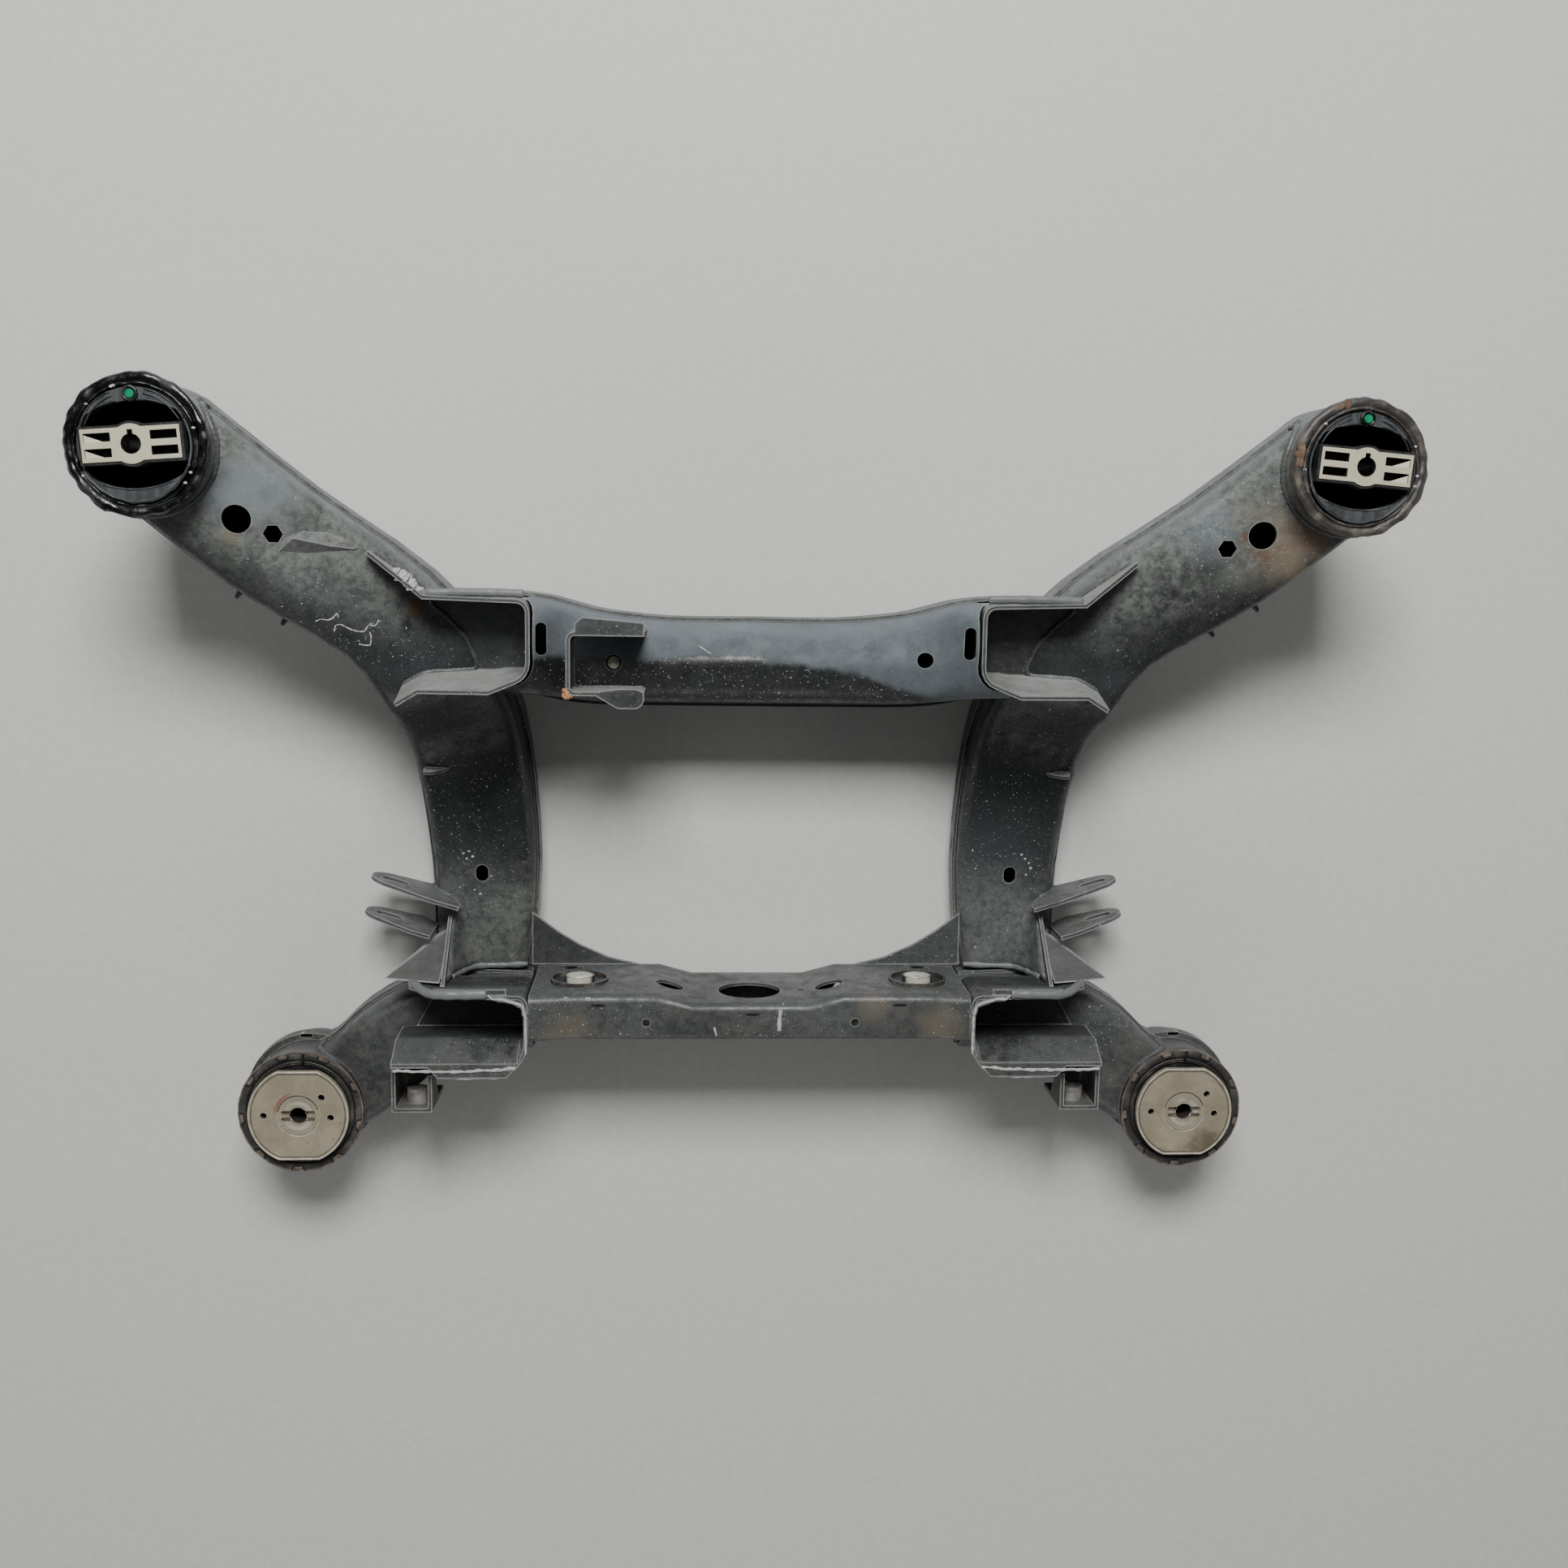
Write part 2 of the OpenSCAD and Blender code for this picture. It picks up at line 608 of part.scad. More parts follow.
module rear_crossmember_channel() {
  color("#4b4f50") difference() {
    channel(rear_rows, sheet_t, rear_beam_r, 0);
    for (s = [-1, 1]) {
      wall_hole(s * diff_span / 2, diff_z, 2 * rear_beam_w) circle(d = diff_sleeve_d + 2 * fit);
      wall_hole(s * side_hole_x, diff_z + 4, hole_depth) circle(d = side_hole_d);
      wall_hole(s * (diff_span / 2 + 8), rear_beam_back + 12, hole_depth) slot(wall_slot_len, wall_slot_w);
      translate([s * small_hole_x, rear_wall_y - rear_beam_w * 0.6, rear_beam_z - 10])
        cylinder(d = small_hole_d, h = 20);
    }
    wall_hole(0, diff_z + 2, hole_depth + rear_set_back) circle(d = centre_hole_d);
    wall_hole(diff_span * 0.153, diff_z, hole_depth) circle(d = small_hole_d);
  }
}

module rear_crossmember_closing_plate() {
  z = rear_beam_back - weld_gap - sheet_t;
  color("#2c2f31") translate([0, 0, z]) linear_extrude(sheet_t) difference() {
    polygon(concat(
      [for (p = rear_rows) [p[0], p[1] + p[2] / 2]],
      [for (p = reversed(rear_rows)) [p[0], p[1] - p[2] / 2]]));
    for (s = [-1, 1]) translate([s * diff_span * 0.34, rear_wall_y - rear_beam_w * 0.6])
      slot(plate_slot_len, plate_slot_w);
  }
}

module differential_mount(x0) {
  translate([x0, rear_wall_y, diff_z]) rotate([90, 0, 0]) children();
}

diff_sleeve_len = rear_beam_w + 8;
diff_sleeve_t = 2;
diff_core_d = 26;
diff_core_bore = 12.5;
diff_rubber_d = diff_sleeve_d - 2 * diff_sleeve_t - 2 * fit;

module differential_sleeve() {
  color("#3c3f40") differential_mount(diff_span / 2) translate([0, 0, -3]) difference() {
    cylinder(d = diff_sleeve_d, h = diff_sleeve_len);
    translate([0, 0, -1]) cylinder(d = diff_sleeve_d - 2 * diff_sleeve_t, h = diff_sleeve_len + 2);
  }
}

module differential_rubber() {
  color("#161616") differential_mount(diff_span / 2) difference() {
    cylinder(d = diff_rubber_d, h = diff_sleeve_len - 6);
    translate([0, 0, -1]) cylinder(d = diff_core_d + 2 * fit, h = diff_sleeve_len);
  }
}

module differential_core() {
  color("#b9b7ad") differential_mount(diff_span / 2) translate([0, 0, -5]) difference() {
    cylinder(d = diff_core_d, h = diff_sleeve_len + 4);
    translate([0, 0, -1]) cylinder(d = diff_core_bore, h = diff_sleeve_len + 6);
  }
}

// Rear arms

rear_arm_rows = sampled(rear_line, span_n);
rear_upper_rows = [for (p = rear_arm_rows) [p[0], p[1], p[2], seam(p) - lap / 2, p[4]]];
rear_back_rows = [for (p = rear_arm_rows) [p[0], p[1], p[2] + lap_w, seam(p) + lap / 2, p[3]]];
rear_crown = 1.5;

module rear_arm_space() {
  g = 2 * weld_gap;
  solid_channel([for (p = rear_arm_rows) [p[0], p[1], p[2] + g, p[3] - 1, p[4] + weld_gap]],
                member_r, rear_crown);
}

module rear_arm_upper_shell() {
  color("#34373a") difference() {
    channel(rear_upper_rows, sheet_t, member_r, 0);
    rear_eye_space();
  }
}

collar_wall = 6;
collar_low = 36;
collar_top = 50;

module rear_arm_back_shell() {
  color("#2c2f31") difference() {
    union() {
      channel(rear_back_rows, sheet_t, member_r, 0);
      difference() {
        translate([rear_x, rear_y, collar_low]) linear_extrude(collar_top - collar_low) intersection() {
          circle(d = eye_od + 2 * collar_wall);
          translate([-eye_od, -8]) square(2 * eye_od);
        }
        rear_arm_space();
      }
    }
    rear_eye_space();
    translate([rear_x + 4, rear_y + eye_od / 2 + collar_wall * 0.6, collar_top - 8]) linear_extrude(20)
      slot(11, 3.5);
  }
}

// Lower link brackets

fold_share = 0.62;
fold_lean = 0.1;
lip_w = 9;
top_lip_w = 5;
kick_clear = 1.5;
kick_len = 23;

function leaning(x, y, low, high, lean) =
  [x, y, [[0, 0, low], [0, lean * fold_lean, low + (high - low) * fold_share], [0, lean, high]]];

module lower_link_bracket() {
  r = lower_corner_r;
  x0 = lower_wall_x;
  x1 = lower_wall_x + lower_len;
  kick = rib_x + bracket_t + kick_clear;
  low = lower_floor_z;
  y0 = lower_low_y + lower_lean;
  top = lower_rim_z;
  top_arc = arc_points(x0 + r, rear_wall_y - r, r, 90, 180, arc_n);
  low_arc = arc_points(x0 + r, y0 + r, r, 180, 270, arc_n);
  rows = concat(
    [leaning(kick + kick_len, rear_wall_y + 4, low + 8, top - 22, 0),
     leaning(kick, rear_wall_y, low, top - 2, 0)],
    [for (p = top_arc) leaning(p[0], p[1], low, top, 0)],
    [for (i = [0:arc_n]) leaning(low_arc[i][0], low_arc[i][1], low, top, -lower_lean * i / arc_n)],
    [leaning(x1, y0, low, top, -lower_lean)]);
  color("#4e5152") difference() {
    union() {
      strip(rows, bracket_t);
      translate([0, 0, low]) linear_extrude(bracket_t)
        polygon([[x0, y0 + r], [x0, rear_wall_y - r], [x0 + r, rear_wall_y],
                 [kick, rear_wall_y], [x1 - 10, y0], [x0 + r, y0]]);
      translate([x0 + r, lower_low_y - lip_w, top - bracket_t]) linear_extrude(bracket_t)
        polygon([[r, 0], [0, lip_w + 1], [lower_len * 0.66, lip_w + 1], [lower_len * 0.58, 0]]);
      translate([x0 + 2 * r, rear_wall_y - bracket_t, top - 2 - bracket_t]) linear_extrude(bracket_t)
        square([kick - x0 - 2 * r, top_lip_w + bracket_t]);
    }
    rear_arm_space();
    side_member_space();
  }
}

// Anti-roll bar brackets

bar_plate_y = rear_y + 16;
bar_nut_z = 114;
bar_outer = 19;
bar_inner = 15;
bar_wall_h = 38;

module anti_roll_bar_bracket() {
  low = lower_floor_z - 10;
  high = bar_nut_z + 20;
  wall_y = lower_low_y + lower_lean;
  color("#4e5152") difference() {
    union() {
      plate_across_x(bar_nut_x + bar_outer - bracket_t, bracket_t)
        polygon([[bar_plate_y - bracket_t, low], [bar_plate_y - bracket_t, high],
                 [lower_low_y - 6, high], [wall_y - 12, low]]);
      translate([bar_nut_x - bar_inner, bar_plate_y - bracket_t, low])
        cube([bar_inner + bar_outer, bracket_t, high - low]);
      plate_across_x(bar_nut_x - bar_inner, bracket_t)
        polygon([[bar_plate_y - bracket_t, high - bar_wall_h], [bar_plate_y - bracket_t, high],
                 [lower_low_y - lip_w - 2, high], [lower_low_y - lip_w - 2, high - bar_wall_h / 2]]);
    }
    translate([bar_nut_x, bar_plate_y + 1, bar_nut_z]) rotate([90, 0, 0])
      cylinder(d = bar_nut_bore + 1, h = bracket_t + 2);
    rear_arm_space();
    rear_eye_space();
  }
}

module anti_roll_bar_nut() {
  color("#77766f") translate([bar_nut_x, bar_plate_y, bar_nut_z]) rotate([-90, 0, 0]) difference() {
    cylinder(d = bar_nut_d, h = bar_nut_len);
    translate([0, 0, -1]) cylinder(d = bar_nut_bore, h = bar_nut_len + 2);
  }
}

// Toe link ears

ear_angle = 17;
ear_mid_z = leg_depth + 4;
ear_high = 30;

// Length of an ear from its tip centre to the leg, and on into it
function ear_root(x, sunk) = (x - leg_x - leg_w / 2 + sunk) / cos(ear_angle) - ear_r;

// Ear drawn from its tip centre inwards, in its own plane
module ear(x, y, root, thin) {
  translate([x - ear_r * cos(ear_angle), y - ear_r * sin(ear_angle), ear_mid_z])
    rotate([90, 0, ear_angle]) linear_extrude(bracket_t) difference() {
      hull() {
        circle(r = ear_r);
        translate([-root, ear_high - thin]) square([1, thin]);
        translate([-root * 0.6, -ear_high]) square([1, 2 * ear_high]);
      }
      slot(ear_slot_len, ear_slot_w);
    }
}

module front_toe_link_ear() {
  color("#55585a") difference() {
    ear(ear_tip_x, ear_tip_y, ear_root(ear_tip_x, leg_w * 0.3), ear_high * 0.4);
    side_member_space();
  }
}

module rear_toe_link_ear() {
  color("#55585a") difference() {
    ear(ear_tip_x + 6, ear_tip_y - ear_gap, ear_root(ear_tip_x + 6, 2), ear_high * 1.67);
    side_member_space();
  }
}

// Stiffeners at the foot of the leg

rib_x = leg_x + 26;
rib_low_y = rear_wall_y + weld_gap;
rib_drop = 32;
rib_top_y = ear_tip_y - rib_drop;

module stiffening_rib() {
  color("#4a4d4e") difference() {
    plate_across_x(rib_x, bracket_t)
      polygon([[rib_low_y, leg_depth - 10], [rib_low_y, lower_rim_z - 30],
               [rib_top_y, leg_depth + 15], [rib_top_y, leg_depth - 10]]);
    side_member_space();
  }
}

wing_foot = 32;

// Sloped plate between the leg and the lower link bracket
module outer_wing() {
  x0 = rib_x + bracket_t + weld_gap;
  low = leg_depth;
  y1 = rear_wall_y + weld_gap + bracket_t;
  a = [x0, y1 + wing_foot, low];
  b = [leg_x + leg_w / 2 - 2, y1 + wing_foot * 0.8, low];
  c = [leg_x + leg_w * 0.84, y1 + 4, lower_rim_z - 30];
  d = [x0, y1, lower_rim_z - 30];
  up = [0, 0, sheet_t];
  color("#525759") difference() {
    polyhedron([a, b, c, d, a + up, b + up, c + up, d + up],
      [[0, 1, 2], [0, 2, 3], [4, 6, 5], [4, 7, 6], [0, 5, 1], [0, 4, 5], [1, 6, 2], [1, 5, 6],
       [2, 7, 3], [2, 6, 7], [3, 4, 0], [3, 7, 4]]);
    side_member_space();
  }
}

gusset_len = 92;
gusset_high = 48;

module corner_gusset() {
  x0 = leg_x - leg_w / 2;
  y0 = rear_wall_y + weld_gap;
  color("#45494b") difference() {
    translate([0, 0, rear_beam_back - sheet_t]) linear_extrude(sheet_t)
      polygon([[x0 + 4, y0], [x0 + 4, y0 + gusset_high], [x0 - gusset_len * 0.2, y0 + gusset_high * 0.64],
               [x0 - gusset_len * 0.42, y0 + gusset_high * 0.38],
               [x0 - gusset_len * 0.7, y0 + gusset_high * 0.14], [x0 - gusset_len, y0]]);
    side_member_space();
  }
}

// Mounts

module tube(od, id, h) {
  difference() {
    cylinder(d = od, h = h);
    translate([0, 0, -1]) cylinder(d = id, h = h + 2);
  }
}

module at_front_mount(z) {
  translate([front_x, front_y, z]) children();
}

module at_rear_mount(z) {
  translate([rear_x, rear_y, z]) children();
}

module front_eye() {
  color("#303234") at_front_mount(front_eye_z) tube(eye_od, eye_id, eye_h);
}

module rear_eye() {
  color("#303234") at_rear_mount(rear_eye_z) tube(eye_od, eye_id, eye_h);
}

flange_h = 7;
core_len = bush_id - 2 * core_gap;
core_tilt = 4.5;
core_z = front_eye_z - 14;
core_h = front_top + core_rise - core_z;
bulge_d = core_w + 5;
coat = 2;
skin = 1.5;
rubber_fit = 0.15;
rubber_z = front_eye_z + 8;
rubber_h = eye_h + 4;
web_h = 5;
arm_top = eye_h * 0.7;
bump_y = bush_id * 0.38;
bump_r = 70;

module front_bush_shell() {
  color("#26282a") {
    at_front_mount(front_eye_z + 2) tube(bush_od, bush_id, eye_h - 2);
    at_front_mount(front_top) tube(flange_d, bush_id, flange_h);
  }
}

module core_outline(more) {
  square([core_len + 2 * more, core_w + 2 * more], center = true);
  circle(d = bulge_d + 2 * more);
}

// Space between the bump stops, above and below the bar
module bump_space(w) {
  intersection() {
    circle(d = bush_id - 2 * fit - 2 * skin);
    square([w, bush_id], center = true);
    translate([0, bump_y - bump_r]) circle(r = bump_r);
    translate([0, bump_r - bump_y]) circle(r = bump_r);
  }
}

module front_bush_rubber() {
  color("#141414") at_front_mount(rubber_z) difference() {
    union() {
      difference() {
        cylinder(d = bush_id - 2 * fit, h = rubber_h);
        rotate(-core_tilt) {
          translate([0, 0, web_h]) linear_extrude(rubber_h) bump_space(core_len - 8);
          translate([0, 0, arm_top]) linear_extrude(rubber_h) bump_space(bush_id);
        }
        at_plug(rubber_h - plug_sunk) cylinder(d = plug_d + 2 * fit, h = plug_h + plug_sunk);
      }
      rotate(-core_tilt) linear_extrude(core_z + core_h - rubber_z - 1) core_outline(coat);
    }
    translate([0, 0, -1]) rotate(-core_tilt) linear_extrude(core_h) core_outline(rubber_fit);
  }
}

module front_bush_core() {
  color("#c9c6b4") at_front_mount(core_z) rotate(-core_tilt) difference() {
    linear_extrude(core_h) core_outline(0);
    translate([0, 0, -1]) cylinder(d = bolt_d, h = core_h + 2);
    translate([-2, bolt_d / 2 - 2, core_h - 12]) cube([4, 5, 13]);
    for (sx = [-1, 1]) for (sy = [-1, 1])
      translate([sx * core_len * 0.335, sy * core_w * 0.235, core_h - 12]) linear_extrude(13)
        square([core_len * 0.27, core_w * 0.27], center = true);
  }
}

plug_d = 6.5;
plug_h = 14;
plug_sunk = 12;

module at_plug(z) {
  translate([2, bump_y + 5, z]) children();
}

module fill_plug() {
  at_front_mount(rubber_z) at_plug(rubber_h - plug_sunk) cylinder(d = plug_d, h = plug_h);
}

module fill_plugs() {
  color("#1f8f5f") {
    fill_plug();
    left() fill_plug();
  }
}

rear_core_d = 40;

module rear_bush_shell() {
  color("#26282a") {
    at_rear_mount(rear_eye_z + 2) tube(bush_od, bush_id, eye_h - 2);
    at_rear_mount(rear_top) difference() {
      tube(flange_d, bush_id, flange_h);
      for (a = [30:60:330]) rotate(a) translate([(flange_d + bush_id) / 4, 0, 2])
        linear_extrude(flange_h) rotate(90) slot(18, 3);
    }
  }
}

module rear_bush_rubber() {
  d = bush_id - 2 * fit;
  color("#141414") at_rear_mount(rear_eye_z + 4) difference() {
    cylinder(d = d, h = eye_h + 1);
    translate([0, 0, -1]) cylinder(d = rear_core_d + 2 * fit, h = eye_h + 4);
    for (s = [-1, 1]) translate([0, s * d * 0.355, eye_h * 0.73]) linear_extrude(eye_h)
      slot(rear_core_d, d * 0.095);
  }
}

module rear_bush_core() {
  h = disc_z - disc_t - fit;
  color("#bdbab0") at_rear_mount(0) tube(rear_core_d, bolt_d, h);
}

emboss_d = 37;
slot_row = 28;

// The discs are alike, not mirrored
module rear_stop_disc(x) {
  color("#aaa595") translate([x, rear_y, disc_z - disc_t]) difference() {
    linear_extrude(disc_t) difference() {
      intersection() {
        circle(d = disc_d);
        square([disc_d, disc_flats], center = true);
      }
      circle(d = bolt_d);
      for (s = [-1, 1]) translate([0, s * bolt_d * 0.22]) slot(slot_row, 3);
      for (p = [[-29.5, 0], [27.5, -2], [20, 16]]) translate(p) circle(d = 6);
    }
    translate([0, 0, disc_t - 1]) tube(emboss_d, emboss_d - 3, 2);
  }
}

left() side_member_upper_shell();  // side_member_upper_shell_left
side_member_upper_shell();  // side_member_upper_shell_right
left() side_member_back_shell();  // side_member_back_shell_left
side_member_back_shell();  // side_member_back_shell_right
front_crossmember_upper_shell();
front_crossmember_back_shell();
rear_crossmember_channel();
rear_crossmember_closing_plate();
left() rear_arm_upper_shell();  // rear_arm_upper_shell_left
rear_arm_upper_shell();  // rear_arm_upper_shell_right
left() rear_arm_back_shell();  // rear_arm_back_shell_left
rear_arm_back_shell();  // rear_arm_back_shell_right
left() front_eye();  // front_eye_left
front_eye();  // front_eye_right
left() rear_eye();  // rear_eye_left
rear_eye();  // rear_eye_right
left() upper_link_bracket();  // upper_link_bracket_left
upper_link_bracket();  // upper_link_bracket_right
differential_bracket();
left() lower_link_bracket();  // lower_link_bracket_left
lower_link_bracket();  // lower_link_bracket_right
left() anti_roll_bar_bracket();  // anti_roll_bar_bracket_left
anti_roll_bar_bracket();  // anti_roll_bar_bracket_right
left() anti_roll_bar_nut();  // anti_roll_bar_nut_left
anti_roll_bar_nut();  // anti_roll_bar_nut_right
left() front_toe_link_ear();  // front_toe_link_ear_left
front_toe_link_ear();  // front_toe_link_ear_right
left() rear_toe_link_ear();  // rear_toe_link_ear_left
rear_toe_link_ear();  // rear_toe_link_ear_right
left() stiffening_rib();  // stiffening_rib_left
stiffening_rib();  // stiffening_rib_right
left() outer_wing();  // outer_wing_left
outer_wing();  // outer_wing_right
left() corner_gusset();  // corner_gusset_left
corner_gusset();  // corner_gusset_right
left() leg_tab();  // leg_tab_left
leg_tab();  // leg_tab_right
clip_studs();
left() front_bush_shell();  // front_bush_shell_left
front_bush_shell();  // front_bush_shell_right
left() front_bush_rubber();  // front_bush_rubber_left
front_bush_rubber();  // front_bush_rubber_right
left() front_bush_core();  // front_bush_core_left
front_bush_core();  // front_bush_core_right
fill_plugs();
left() rear_bush_shell();  // rear_bush_shell_left
rear_bush_shell();  // rear_bush_shell_right
left() rear_bush_rubber();  // rear_bush_rubber_left
rear_bush_rubber();  // rear_bush_rubber_right
left() rear_bush_core();  // rear_bush_core_left
rear_bush_core();  // rear_bush_core_right
rear_stop_disc(-rear_x);  // rear_stop_disc_left
rear_stop_disc(rear_x);  // rear_stop_disc_right
left() differential_sleeve();  // differential_sleeve_left
differential_sleeve();  // differential_sleeve_right
left() differential_rubber();  // differential_rubber_left
differential_rubber();  // differential_rubber_right
left() differential_core();  // differential_core_left
differential_core();  // differential_core_right
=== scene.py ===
import json
import math

import bmesh
import bpy
from mathutils import Matrix, Vector, noise
from mathutils.bvhtree import BVHTree


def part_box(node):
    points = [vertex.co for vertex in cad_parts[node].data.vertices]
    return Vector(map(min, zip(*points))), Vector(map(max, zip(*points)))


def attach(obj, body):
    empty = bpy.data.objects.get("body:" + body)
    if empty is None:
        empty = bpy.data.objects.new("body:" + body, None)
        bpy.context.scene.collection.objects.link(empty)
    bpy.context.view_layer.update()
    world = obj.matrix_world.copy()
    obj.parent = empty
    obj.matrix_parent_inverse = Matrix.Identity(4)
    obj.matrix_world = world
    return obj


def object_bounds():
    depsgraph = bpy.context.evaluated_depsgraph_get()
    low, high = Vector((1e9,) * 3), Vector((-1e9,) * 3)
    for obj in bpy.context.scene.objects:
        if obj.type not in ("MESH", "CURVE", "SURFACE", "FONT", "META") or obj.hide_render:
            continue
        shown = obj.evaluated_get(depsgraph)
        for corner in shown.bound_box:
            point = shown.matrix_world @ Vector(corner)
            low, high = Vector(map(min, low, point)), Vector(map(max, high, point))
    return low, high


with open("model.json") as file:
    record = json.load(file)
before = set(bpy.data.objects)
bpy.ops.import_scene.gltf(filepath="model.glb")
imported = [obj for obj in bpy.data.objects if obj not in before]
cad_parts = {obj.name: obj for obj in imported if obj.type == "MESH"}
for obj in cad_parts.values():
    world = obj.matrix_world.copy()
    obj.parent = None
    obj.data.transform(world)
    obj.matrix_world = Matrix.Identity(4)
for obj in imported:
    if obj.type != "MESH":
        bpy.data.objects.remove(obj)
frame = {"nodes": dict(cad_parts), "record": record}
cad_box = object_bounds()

nodes = frame["nodes"]
MM = 0.001
UP = Vector((0, 0, 1))
SIDES = {"left": -1, "right": 1}

# Camera of the photograph, in the part's frame
CAMERA_AT = Vector((-0.0559, 0.1977, 1.4926))
CAMERA_LOOK = Vector((0.0593, -0.1323, -0.9894))
CAMERA_UP = Vector((-0.007, 0.9911, -0.1329))
FOCAL_PX = 2025
IMAGE_PX = 1932
SENSOR_MM = 36


def mm(x, y, z):
    return Vector((x, y, z)) * MM


def srgb(text):
    """Linear colour of a web colour."""
    out = []
    for i in (1, 3, 5):
        c = int(text[i:i + 2], 16) / 255
        out.append(c / 12.92 if c <= 0.04045 else ((c + 0.055) / 1.055) ** 2.4)
    return (*out, 1.0)


# Shader building


class Shader:
    """A material and short ways to add its nodes."""

    def __init__(self, name):
        self.material = bpy.data.materials.new(name)
        self.material.use_nodes = True
        self.tree = self.material.node_tree
        self.bsdf = self.tree.nodes["Principled BSDF"]
        self.at = self.add("ShaderNodeTexCoord").outputs["Object"]
        self.normal = self.add("ShaderNodeSeparateXYZ", {
            "Vector": self.add("ShaderNodeNewGeometry").outputs["Normal"]}).outputs
        self.place = self.add("ShaderNodeSeparateXYZ", {"Vector": self.at}).outputs
        self.torn = None

    def add(self, kind, inputs=None, **settings):
        made = self.tree.nodes.new(kind)
        for key, value in settings.items():
            setattr(made, key, value)
        for key, value in (inputs or {}).items():
            self.put(made.inputs[key], value)
        return made

    def put(self, socket, value):
        if isinstance(value, bpy.types.NodeSocket):
            self.tree.links.new(value, socket)
        else:
            socket.default_value = value

    def set(self, **inputs):
        """Sets the shader's own sockets; an underscore stands for a space."""
        for key, value in inputs.items():
            self.put(self.bsdf.inputs[key.replace("_", " ")], value)

    def maths(self, operation, a, b=0.0):
        return self.add("ShaderNodeMath", {0: a, 1: b}, operation=operation).outputs[0]

    def times(self, *values):
        out = values[0]
        for value in values[1:]:
            out = self.maths("MULTIPLY", out, value)
        return out

    def ramp(self, value, low, high, out_low=0.0, out_high=1.0):
        """Smooth step from low to high."""
        return self.add("ShaderNodeMapRange", {
            "Value": value, "From Min": low, "From Max": high, "To Min": out_low, "To Max": out_high},
            interpolation_type="SMOOTHSTEP").outputs["Result"]

    def across(self, axis, ends, out_low=0.0, out_high=1.0):
        """Smooth step between two places along an axis, in mm."""
        return self.ramp(self.place[axis], ends[0] * MM, ends[1] * MM, out_low, out_high)

    def stretched(self, scale):
        return self.add("ShaderNodeMapping", {"Vector": self.at, "Scale": scale}).outputs["Vector"]

    def noise(self, scale, detail=4.0, rough=0.55, at=None):
        return self.add("ShaderNodeTexNoise", {
            "Vector": at or self.at, "Scale": scale, "Detail": detail, "Roughness": rough}).outputs["Fac"]

    def mix(self, share, a, b):
        made = self.tree.nodes.new("ShaderNodeMix")
        made.data_type = "RGBA"
        self.put(made.inputs[0], share)
        self.put(made.inputs[6], a)
        self.put(made.inputs[7], b)
        return made.outputs[2]

    def edges(self, radius):
        """1 along sharp edges, 0 on flat faces."""
        rounded = self.add("ShaderNodeBevel", {"Radius": radius}, samples=4).outputs["Normal"]
        flat = self.add("ShaderNodeNewGeometry").outputs["Normal"]
        dot = self.add("ShaderNodeVectorMath", {0: rounded, 1: flat}, operation="DOT_PRODUCT")
        return self.ramp(dot.outputs["Value"], 0.98, 0.80)

    def bump(self, height, distance, strength=1.0):
        made = self.add("ShaderNodeBump", {
            "Height": height, "Distance": distance, "Strength": strength})
        self.put(self.bsdf.inputs["Normal"], made.outputs["Normal"])

    def gap(self, centre):
        """Distance from a point of the part."""
        made = self.add("ShaderNodeVectorMath", {0: self.at, 1: centre}, operation="DISTANCE")
        return made.outputs["Value"]

    def spot(self, centre, radius):
        """1 near a point of the part, fading out with a torn outline."""
        if self.torn is None:
            self.torn = self.ramp(self.noise(75, 6, 0.72), 0.25, 0.75, -0.35, 0.35)
        reach = self.maths("ADD", self.gap(centre), self.times(self.torn, radius))
        return self.ramp(reach, radius * 1.1, radius * 0.25)


PAINT_DARK = srgb("#17191a")
PAINT_LIGHT = srgb("#34383a")
DUST_BLUE = srgb("#7b848a")
DUST_FILM = srgb("#757873")
DUST_BROWN = srgb("#6a6154")
DUST_TAN = srgb("#756a58")
BARE_EDGE = srgb("#a3a5a2")
SETTLED = srgb("#9a9d9b")
FLECK = srgb("#c4c6c4")
RUST = srgb("#5d4230")
# Near black of soot stains and the crossmember's paint, also the colour of painted shade in recesses, on the
# legs and along the arms' lower edge
SOOT_AND_SHADE = srgb("#0c0d0d")

# Distance inwards from the arms' lower edge, for the painted shade along it: shares of X and Y, and mm added
LOW_EDGE = (-0.5625, 0.828, 72)

# Bow of the line above which dust and a painted sheen lighten the front crossmember, per metre
DUST_SHEEN_BOW = 1.1

# Stains and dust on the members: place, radius in mm, colour, strength
STAINS = (
    ((420, 220, 180), 42, DUST_TAN, 0.5),
    ((440, 228, 186), 22, RUST, 0.55),
    ((394, 226, 176), 7, RUST, 0.7),
    ((407, 211, 176), 9, RUST, 0.6),
    ((433, 206, 179), 26, DUST_TAN, 0.5),
    ((389, 199, 170), 20, DUST_FILM, 0.5),
    ((373, 182, 164), 55, SOOT_AND_SHADE, 0.5),
    ((335, 150, 150), 45, SOOT_AND_SHADE, 0.35),
    ((365, 232, 170), 30, DUST_BLUE, 0.35),
    ((-274, 159, 141), 10, RUST, 0.85),
    ((-283, 144, 141), 9, SOOT_AND_SHADE, 0.6),
    ((-412, 215, 177), 9, DUST_TAN, 0.6),
    ((-392, 238, 177), 8, DUST_TAN, 0.45),
    ((-410, 246, 182), 28, DUST_BLUE, 0.35),
    ((-385, 252, 176), 34, DUST_BLUE, 0.5),
    ((-157, -194, 145), 22, DUST_BROWN, 0.5),
    ((161, -192, 145), 24, DUST_BROWN, 0.6),
    ((104, -170, 145), 18, DUST_BROWN, 0.5),
)
# Painted shade on the lower brackets, darkest towards their inner side
LOWER_SHADE_SPOTS = (
    ((205, -200, 100), 55, SOOT_AND_SHADE, 0.7),
    ((-205, -200, 100), 55, SOOT_AND_SHADE, 0.7),
)
